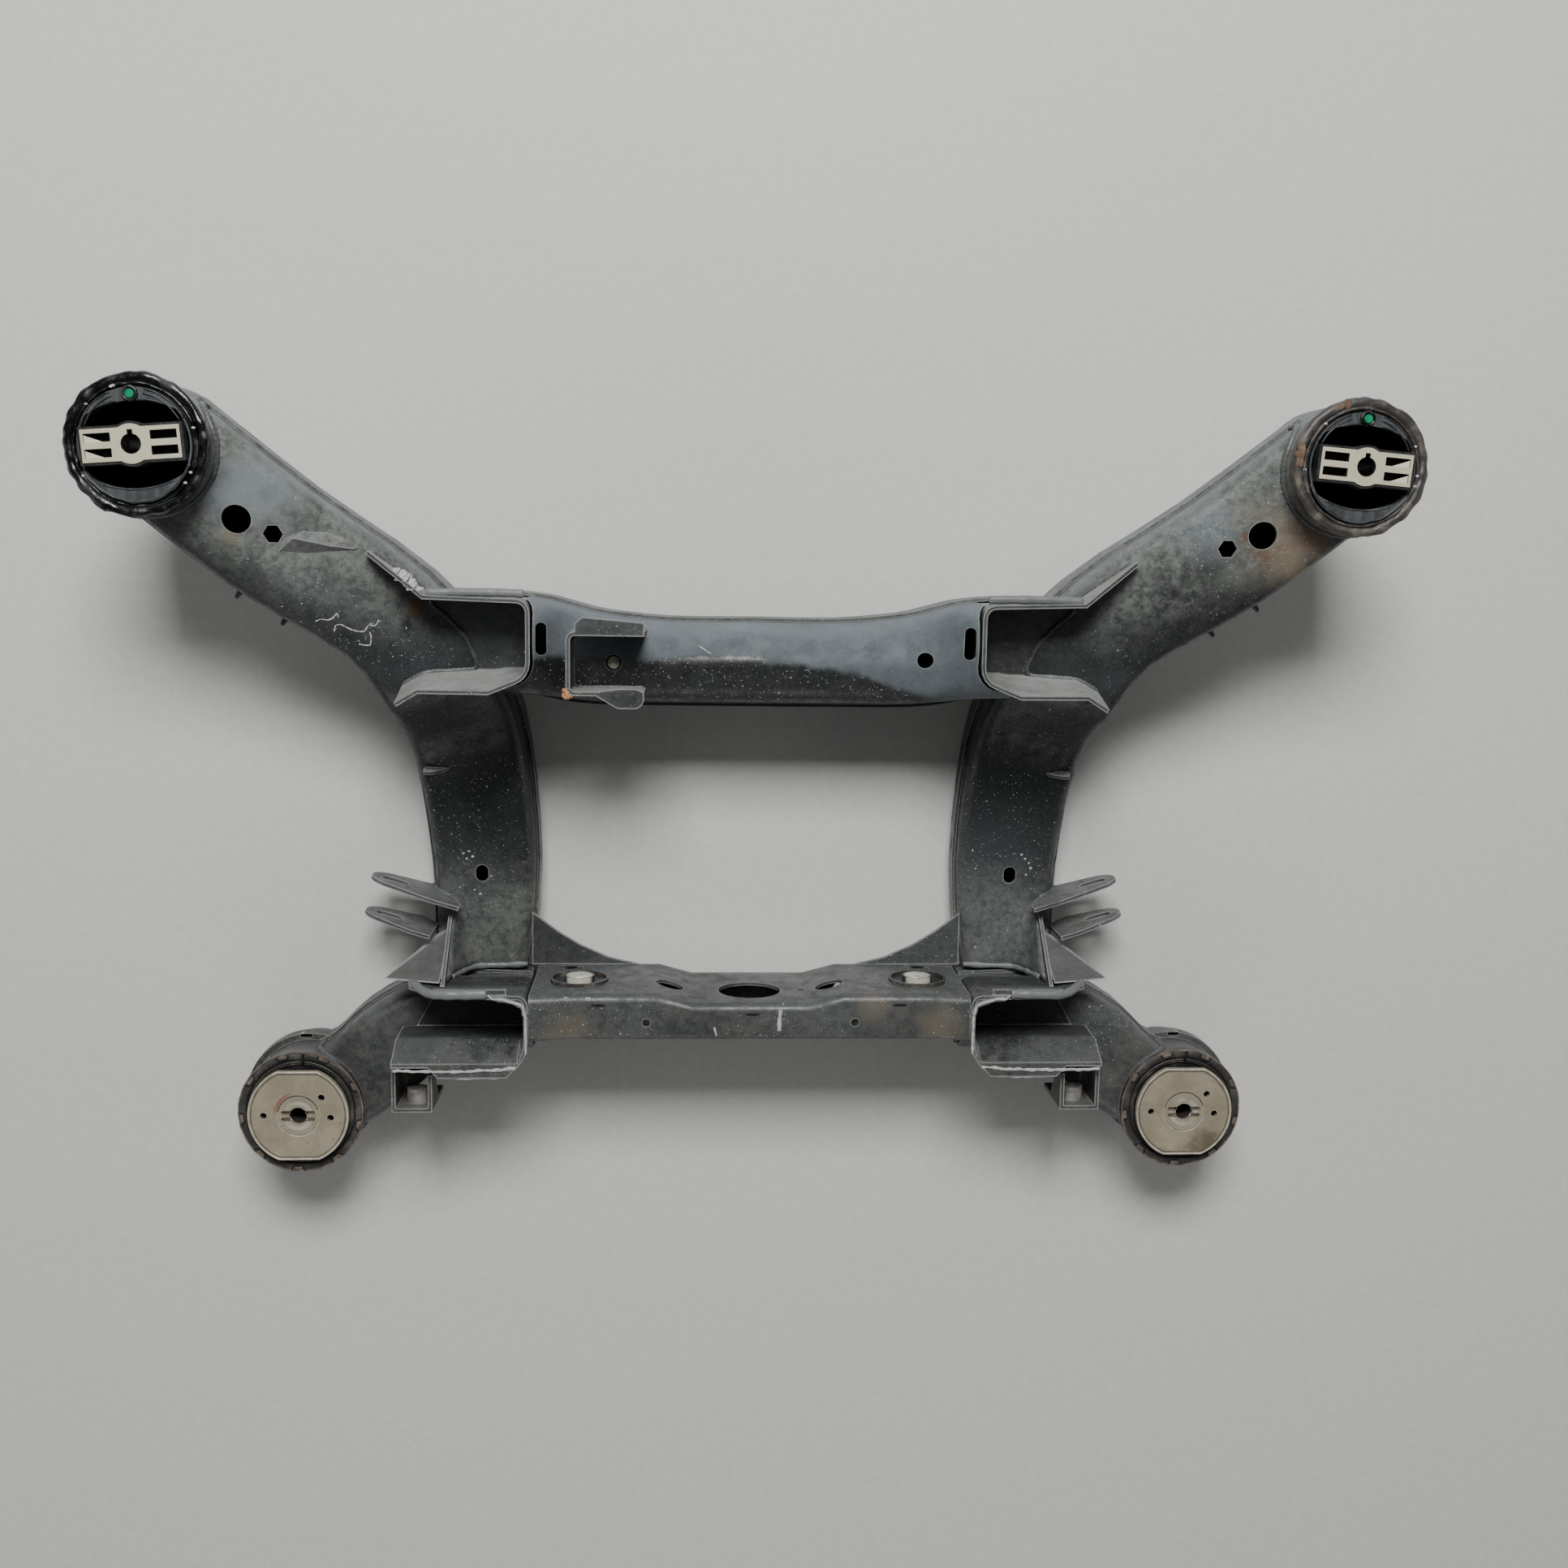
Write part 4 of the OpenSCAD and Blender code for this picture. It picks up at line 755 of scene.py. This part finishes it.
for side, sx in SIDES.items():
    centre = wide_flange[side]
    flange_finish = tar_black if sx < 0 else shell_dusty
    lumpy_flange(centre).piece(f"wide_mount_flange_{side}", flange_finish, "bush_shell")
    stop_folds(side, centre).piece(f"wide_mount_folds_{side}", fold_grey, "rubber")
    pocket_floors(side, centre).piece(f"core_pocket_floors_{side}", core_cast, "cast_core", False)
    seat = Trim()
    plug_at = Vector((centre.x + sx * PLUG[0] * MM, centre.y + PLUG[1] * MM, wide_stop_z + 0.6 * MM))
    seat.even_bar(arc(plug_at, 5 * MM, 0, 360, step=15), 1.3 * MM, 1.2 * MM, closed=True)
    seat.piece(f"plug_seat_{side}", tar_black, "rubber")

# Rust and chips on the right-hand flange; on the left-hand flange's glossy rubber the pale lumps are painted
# glints

CHIPS_AND_GLINTS = {"left": ((-43, 36), (-21, 54), (-17, 51), (46, 14), (-44, -27), (43, -21), (39, -30)),
         "right": ((-41, -2), (-29, 31), (45, -6), (44, -14), (45, 18))}
for side in SIDES:
    chips_and_glints = Trim()
    for x, y in CHIPS_AND_GLINTS[side]:
        at = wide_flange[side] + Vector((x, y, 0)).normalized() * FLANGE_LIP_R * MM + mm(0, 0, 3.9)
        chips_and_glints.lump(at, (1.5 * MM, 1.0 * MM, 0.5 * MM), UP, 0.5)
    chips_and_glints.piece(f"flange_chips_and_glints_{side}", pale_chip, "bush_shell")
patch = Trim()
for angle, size in ((106, 4.2), (112, 3.4), (163, 4.0), (170, 4.4), (177, 3.6)):
    way = Vector((math.cos(math.radians(angle)), math.sin(math.radians(angle)), 0))
    at = wide_flange["right"] + way * FLANGE_R * MM + mm(0, 0, 3.2)
    patch.lump(at, (size * MM, size * MM, 1.0 * MM), UP, 0.6)
patch.piece("flange_rust_right", rust_brown, "bush_shell")

# Narrow-end mounts: ring with windows, painted shadow in its grooves and slit, rolled disc rim with painted
# highlight, emboss with painted shadow above and painted highlight below

SLIT = 86.5
WINDOW_STEPS = (20, 60, 100, 140, 180)
SLOT_AT = (10.3, 3)
BAND_R, INNER_BAND_R, BAND_EDGE_R = 49.9, 44.6, 53.0
PAD_R, GROOVE_R = 50.6, 46.2
RIM_R, RIM_FLAT = 42.1, 38.6
# Radius and flats of the ring of painted shadow inside the rolled rim
SHADOW_RING_R, SHADOW_RING_FLAT = 40.2, 36.8


def flattened(points, middle_y, half):
    """Points with Y kept within half of a middle line, as the stop disc's two flats are."""
    return [Vector((p.x, min(max(p.y, middle_y - half), middle_y + half), p.z)) for p in points]


def window_outline(centre, angle):
    """U-shaped groove line, open outwards."""
    def at(radius, turn):
        a = math.radians(angle + turn)
        return centre + Vector((math.cos(a), math.sin(a), 0)) * radius * MM
    return eased([at(52.6, -6), at(50.5, -5.8), at(48.8, -4.8), at(48.2, -3), at(48.2, 0), at(48.2, 3),
                  at(48.8, 4.8), at(50.5, 5.8), at(52.6, 6)], 1)


for side in SIDES:
    centre = narrow_flange[side]
    band = Trim()
    band.even_bar(arc(centre + mm(0, 0, 0.3), BAND_R * MM, SLIT + 1.6, SLIT + 358.4, 0.3 * MM, 5),
                  3.4 * MM, 1.0 * MM, 0.15)
    band.even_bar(arc(centre + mm(0, 0, -0.4), INNER_BAND_R * MM, SLIT + 1.6, SLIT + 358.4, 0.2 * MM, 5),
                  1.3 * MM, 1.2 * MM, 0.15)
    band.piece(f"narrow_mount_band_{side}", band_dusty, "bush_shell")
    edge = Trim()
    edge_line = arc(centre + mm(0, 0, 0.5), BAND_EDGE_R * MM, 0, 360, 0.3 * MM, 4)
    edge.even_bar(edge_line, 0.8 * MM, 0.9 * MM, 0.5, closed=True)
    pads = Trim()
    # Black bars as painted shadow in the window grooves, the slit and the groove round the ring
    lines = Trim()
    for step in WINDOW_STEPS:
        for angle in {SLIT + step, SLIT - step} if step < 180 else {SLIT + step}:
            lines.even_bar(window_outline(centre + mm(0, 0, 1.2), angle), 0.55 * MM, 0.5 * MM, 0.3)
            pad = arc(centre + mm(0, 0, 0.8), PAD_R * MM, angle - 4, angle + 4, 0, 1, 2)
            pads.even_bar(pad, 1.8 * MM, 1.0 * MM, 0.3)
    a = math.radians(SLIT)
    way = Vector((math.cos(a), math.sin(a), 0))
    lines.even_bar([centre + way * r * MM + mm(0, 0, 0.3) for r in (43.2, 46, 49, 52.2)], 1.2 * MM, 1.0 * MM)
    lines.even_bar(arc(centre + mm(0, 0, 0.6), GROOVE_R * MM, SLIT + 2, SLIT + 358), 0.5 * MM, 0.5 * MM)
    edge.piece(f"narrow_mount_edge_{side}", tag_brown, "bush_shell")
    pads.piece(f"narrow_mount_windows_{side}", tag_brown, "bush_shell")
    lines.piece(f"narrow_mount_groove_shadows_{side}", shadow_black, "rubber")
    rim = Trim()
    top = disc_top[side]
    outline = flattened(arc(top + mm(0, 0, 0.1), RIM_R * MM, 0, 360), top.y, RIM_FLAT * MM)
    rim.even_bar(outline, 0.9 * MM, 0.9 * MM, 0.1, closed=True)
    # Light arc on the lower half of the emboss: a painted highlight
    rim.even_bar(arc(top, 18.2 * MM, 200, 340), 0.6 * MM, 0.35 * MM, 0.3)
    rim.piece(f"disc_rim_highlight_{side}", zinc_highlight, "stop_disc")
    # Painted shadow: dark line inside the rolled rim, arc on the upper half of the emboss, outlines of the
    # slots
    groove_shadows = Trim()
    inner = flattened(arc(top, SHADOW_RING_R * MM, 0, 360), top.y, SHADOW_RING_FLAT * MM)
    groove_shadows.even_bar(inner, 0.5 * MM, 0.15 * MM, 0.4, closed=True)
    groove_shadows.even_bar(arc(top, 17.6 * MM, 20, 165), 0.6 * MM, 0.2 * MM, 0.3)
    for x in (-SLOT_AT[0], SLOT_AT[0]):
        for y in (-SLOT_AT[1], SLOT_AT[1]):
            loop = []
            for s in (1, -1):
                loop += arc(top + mm(x + s * 2.4, y, 0), 1.4 * MM, s * 90 - 180, s * 90, step=30)
            groove_shadows.even_bar(loop, 0.4 * MM, 0.2 * MM, closed=True)
    groove_shadows.piece(f"disc_groove_shadows_{side}", groove_shadow, "stop_disc")

# Link brackets: rolled lips, lighter with dust and a painted highlight, torn corner, frayed rims, foot lip;
# dark spot as painted shadow in the hole of the outer wing

LIP = ((287, -157, 121), (281, -158.5, 130), (274, -160.5, 139), (266, -161.5, 145), (254, -161.5, 147),
       (236, -161, 147.6), (220, -160.5, 147.6))
TORN = ((220, -161.5, 148.4), (216, -164.5, 148.6), (206, -165.5, 149), (198, -168, 148.8),
        (191, -171, 148.6), (188.8, -180, 148.5), (188.6, -200, 148.4), (188.8, -214, 148.4))
LOWER_RIM = ((299, -226, 148.3), (285, -226.4, 148.4), (262, -227, 148.6), (240, -226.5, 148.7),
             (215, -226, 148.6), (197, -224, 148.4))
LOWER_LIP = ((262, -233, 146.6), (240, -233.6, 147), (212, -233, 146.6))
FOOT_LIP = ((257, -160.5, 90), (254, -160.5, 80), (247, -160.5, 61), (241, -160.5, 50.5), (230, -160.5, 48),
            (215, -160.5, 47.5), (196, -159.5, 46.5))
WING_HOLE = (267, -156, 115)
UPPER_LIP = ((185, 172, 182.6), (205, 172.5, 182.6), (235, 172.5, 182.6), (262, 171.5, 182))
RIB_TOP = (-113, 62)
RIB_FOOT = (-161, 108)
RIB_X, LEG_TOP_Z = 260.4, 46


def mirrored(points, sx):
    return [mm(sx * x, y, z) for x, y, z in points]


for side, sx in SIDES.items():
    lips = Trim()
    rolled = eased(resampled(mirrored(LIP, sx), 2 * MM), 2)
    lips.even_bar(rolled, 4.2 * MM, 3.4 * MM, 0.22, 110)
    torn = eased(resampled(mirrored(TORN[1:6], sx), 1.5 * MM), 2)
    lips.even_bar([p - mm(0, 0, 1.2) for p in torn], 2.2 * MM, 1.4 * MM, 0.4, 140)
    upper = eased(resampled(mirrored(UPPER_LIP, sx), 2 * MM), 2)
    lips.even_bar(upper, 3.4 * MM, 2.2 * MM, 0.15, 110)
    foot = eased(resampled(mirrored(FOOT_LIP, sx), 2 * MM), 2)
    lips.even_bar(foot, 2.6 * MM, 1.6 * MM, 0.5, 120)
    lips.piece(f"bracket_lips_{side}", lip_dust_and_highlight, "bracket_paint")
    frayed = Trim()
    for line, wide in ((TORN, 0.9), (LOWER_RIM, 1.2), (LOWER_LIP, 0.7)):
        ragged = resampled(mirrored(line, sx), 1.2 * MM)
        ragged = [
            p + Vector((0, 0.9 * noise.noise(p * 170), 0.4 * noise.noise(p * 230))) * MM for p in ragged]
        frayed.even_bar(ragged, wide * MM, 0.7 * MM, 0.75, 190)
    frayed.piece(f"frayed_rims_{side}", pale_chip, "bracket_paint")
    # Black lump as painted shadow in the outer wing's hole
    hole_at, hole_up = laid(f"outer_wing_{side}", mirrored([WING_HOLE], sx))
    hole = Trim()
    hole.lump(hole_at[0], (4.2 * MM, 3.4 * MM, 0.4 * MM), hole_up[0])
    hole.piece(f"wing_hole_shadow_{side}", shadow_black, "bracket_paint")

# Leg skin that flares up to the stiffening rib


def foot_flare(sx, rows=8, steps=7):
    """Concave wedge between the leg's face and the rib's inner side."""
    trim = Trim()
    for i in range(rows + 1):
        share = i / rows
        y = RIB_TOP[0] + share * (RIB_FOOT[0] - RIB_TOP[0])
        rise = RIB_TOP[1] + share * (RIB_FOOT[1] - RIB_TOP[1]) - LEG_TOP_Z
        reach = 12 + 14 * share
        for k in range(steps):
            u = k / (steps - 1)
            trim.verts.append(mm(sx * (RIB_X - reach * u), y, LEG_TOP_Z - 0.6 + rise * (1 - u) ** 2))
        trim.verts.append(mm(sx * RIB_X, y, LEG_TOP_Z - 0.8))
    ring = steps + 1
    for i in range(rows):
        for k in range(ring):
            j = (k + 1) % ring
            a, b = i * ring, (i + 1) * ring
            face = (a + k, b + k, b + j, a + j)
            trim.faces.append(face if sx > 0 else face[::-1])
    ends = (tuple(range(ring)), tuple(rows * ring + k for k in reversed(range(ring))))
    trim.faces += [e if sx > 0 else e[::-1] for e in ends]
    return trim


for side, sx in SIDES.items():
    foot_flare(sx).piece(f"foot_flare_{side}", member_paint, "member_paint")

# Bright end faces of the differential mounts' cores

for side in SIDES:
    low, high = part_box(f"differential_core_{side}")
    end_face = Trim()
    middle = Vector(((low.x + high.x) / 2, high.y, (low.z + high.z) / 2))
    end_face.lump(middle, (12 * MM, 12 * MM, 1.2 * MM), Vector((0, 1, 0)))
    end_face.piece(f"core_end_{side}", core_bright, "cast_core")

# Left arm: pressed wedge beside the hexagonal hole

WEDGE = ((-373, 212, 169), (-378, 201, 169), (-358, 200, 164), (-337, 202, 160), (-318, 204, 155),
         (-308, 208, 151), (-323, 214, 156), (-338, 218, 161), (-357, 219, 166))
RIDGE = ((-366, 213, 167), (-352, 210, 164), (-338, 207, 160), (-322, 205, 155))
RIDGE_H = (4.5, 5, 3.6, 1.5)


def pressed_wedge():
    """Low ridge whose foot lies in the arm's face."""
    foot, ups = laid("side_member_upper_shell_left", [mm(*p) for p in WEDGE])
    crest, crest_ups = laid("side_member_upper_shell_left", [mm(*p) for p in RIDGE])
    trim = Trim()
    trim.verts += [p - n * 0.4 * MM for p, n in zip(foot, ups)]
    trim.verts += [p + n * h * MM for p, n, h in zip(crest, crest_ups, RIDGE_H)]
    a, b, c, d = (len(foot) + k for k in range(4))
    trim.faces += [(0, 1, a), (1, 2, a), (2, b, a), (2, 3, b), (3, c, b), (3, 4, c), (4, d, c), (4, 5, d),
                   (5, 6, d), (6, c, d), (6, 7, c), (7, b, c), (7, 8, b), (8, a, b), (8, 0, a)]
    trim.faces.append(tuple(reversed(range(len(foot)))))
    return trim


pressed_wedge().piece("pressed_wedge_left", member_paint, "member_paint", False)

# Scratches, scrapes and chalk

SCRATCHES = {
    "side_member_upper_shell_left": (
        ((-353, 147, 153), (-349, 149, 153), (-343, 148, 152), (-339, 150, 152), (-336, 154, 152),
         (-335, 150, 151)),
        ((-339, 139, 149), (-338, 144, 150), (-334, 145, 149), (-327, 141, 147), (-321, 139, 146),
         (-316, 139, 145), (-313, 144, 145), (-310, 146, 145)),
        ((-311, 144, 145), (-307, 144, 144), (-304, 149, 145)),
        ((-312, 139, 144), (-311, 135, 143), (-312, 128, 141), (-317, 128, 142), (-321, 129, 143))),
    "front_crossmember_upper_shell": (((-47, 131, 137), (-41, 127, 138), (-36, 124, 139)),),
}
scratches = Trim()
for node, lines in SCRATCHES.items():
    for line in lines:
        fine = eased(resampled([mm(*p) for p in line], 0.8 * MM), 2)
        spots, ups = laid(node, fine)
        scratches.even_bar(spots, 0.5 * MM, 0.2 * MM, 0.9, 500, ups)
scratches.piece("scratches", pale_chip, "member_paint")

CHALK = (
    ((25, -175, 145), (24, -184, 145), (24, -194, 145)),
    ((-31, -190, 145), (-30, -194, 145), (-29, -198, 145)),
)
chalk = Trim()
for line, wide in zip(CHALK, (1.7, 0.8)):
    spots, ups = laid("rear_crossmember_channel", resampled([mm(*p) for p in line], 0.8 * MM))
    chalk.even_bar(spots, wide * MM, 0.2 * MM, 0.6, 330, ups)
chalk.piece("chalk_marks", pale_chip, "member_paint")

# Scrape on the left upper bracket's wing: share of the way to the bend, drop and size in mm
WING_END, WING_BEND = mm(-309, 204, 162), mm(-263, 170, 184)
SCRAPES = ((0.52, 3, 3.0), (0.6, 4, 4.2), (0.68, 3, 3.6), (0.75, 5, 4.5), (0.83, 3, 3.6), (0.92, 4, 3.2))
scrape = Trim()
for share, drop, size in SCRAPES:
    at = WING_END.lerp(WING_BEND, share) + mm(-1, 1.4, -drop)
    scrape.lump(at, (size * 1.4 * MM, size * 1.2 * MM, 1.0 * MM), Vector((-0.4, 0.55, 0.73)), 1.1)
scrape.piece("wing_scrape_left", pale_chip, "bracket_paint")

# Painted shadow in the rear crossmember's drain slits, chips on the legs, rust, and a bolt in the
# differential bracket's floor hole lightened as a painted glint

SLITS = ((-128, -171, 145), (1, -179, 145), (126, -171, 145))
slits = Trim()
for p in SLITS:
    slits.lump(mm(*p), (6.5 * MM, 1.2 * MM, 0.2 * MM))
for x in (-159, 154):
    spots, ups = laid("rear_crossmember_channel", [mm(x, -162, 47)])
    slits.lump(spots[0], (7 * MM, 1.8 * MM, 0.3 * MM), ups[0])
slits.piece("drain_slit_shadows", shadow_black, "member_paint")
LEG_CHIPS = {"left": ((-244, -62), (-249, -64), (-247, -57), (-252, -59), (-238, -96), (-228, -80)),
             "right": ((249, -62), (253, -66), (255, -71), (251, -77), (246, -58))}
leg_chips = Trim()
for side, places in LEG_CHIPS.items():
    spots, ups = laid(f"side_member_upper_shell_{side}", [mm(x, y, 48) for x, y in places])
    for spot, up in zip(spots, ups):
        leg_chips.lump(spot, (1.3 * MM, 1.0 * MM, 0.25 * MM), up, 0.8)
leg_chips.piece("leg_chips", pale_chip, "member_paint")
rust = Trim()
corner_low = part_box("differential_bracket")[0]
corner_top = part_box("differential_bracket")[1].z
for x, y, size in ((0.5, 11, 3.4), (3, 9.5, 2.6), (-0.5, 14, 2.2)):
    at = Vector((corner_low.x, corner_low.y, corner_top)) + mm(x, y, -1)
    rust.lump(at, (size * MM, size * MM, 2.2 * MM), UP, 0.8)
rust.piece("bracket_rust", rust_orange, "bracket_paint")
# Light disc for the bolt in the differential bracket's floor hole, made light as a painted glint
glint = Trim()
glint.lump(mm(-116, 116, 137), (5.8 * MM, 5.8 * MM, 1.2 * MM))
glint.piece("floor_hole_bolt_glint", zinc_highlight, "nut_steel")

# Stage: pale floor, soft light, the photograph's camera


LIGHT_AIM = Vector((0, 0, 0.1))
FLOOR_HALF = 20.0
FLOOR_DROP = 0.2 * MM
FLOOR_CORNERS = ((-1, -1), (1, -1), (1, 1), (-1, 1))


def area_light(name, at, size, power):
    light = bpy.data.lights.new(name, "AREA")
    light.shape = "RECTANGLE"
    light.size, light.size_y = size
    light.energy = power
    lamp = bpy.data.objects.new(name, light)
    lamp.location = at
    lamp.rotation_euler = (LIGHT_AIM - Vector(at)).to_track_quat("-Z", "Y").to_euler()
    bpy.context.scene.collection.objects.link(lamp)


floor_mesh = bpy.data.meshes.new("floor")
floor_z = cad_box[0].z - FLOOR_DROP
floor_mesh.from_pydata(
    [(x * FLOOR_HALF, y * FLOOR_HALF, floor_z) for x, y in FLOOR_CORNERS], [], [(0, 1, 2, 3)])
floor = bpy.data.objects.new("floor", floor_mesh)
bpy.context.scene.collection.objects.link(floor)
floor_mesh.materials.append(plain("floor_pale", srgb("#c9c8c4"), srgb("#cfceca"), 0.7))

world = bpy.data.worlds.new("studio")
world.use_nodes = True
sky = world.node_tree.nodes["Background"].inputs
sky["Color"].default_value = (0.92, 0.94, 0.97, 1)
sky["Strength"].default_value = 0.09
bpy.context.scene.world = world
area_light("key", (-0.1, 1.8, 2.5), (1.3, 0.9), 118)
area_light("front", (-0.3, -3.3, 1.1), (3.0, 1.4), 30)
area_light("left", (-3.2, -0.4, 0.9), (2.0, 1.2), 16)
area_light("right", (3.2, -0.4, 0.9), (2.0, 1.2), 16)

camera_data = bpy.data.cameras.new("camera")
camera_data.sensor_width = SENSOR_MM
camera_data.lens = SENSOR_MM * FOCAL_PX / IMAGE_PX
camera_data.clip_start, camera_data.clip_end = 0.05, 50
camera = bpy.data.objects.new("camera", camera_data)
back = -CAMERA_LOOK.normalized()
right = CAMERA_UP.cross(back).normalized()
turn = Matrix((right, back.cross(right), back)).transposed().to_4x4()
camera.matrix_world = Matrix.Translation(CAMERA_AT) @ turn
bpy.context.scene.collection.objects.link(camera)
bpy.context.scene.camera = camera
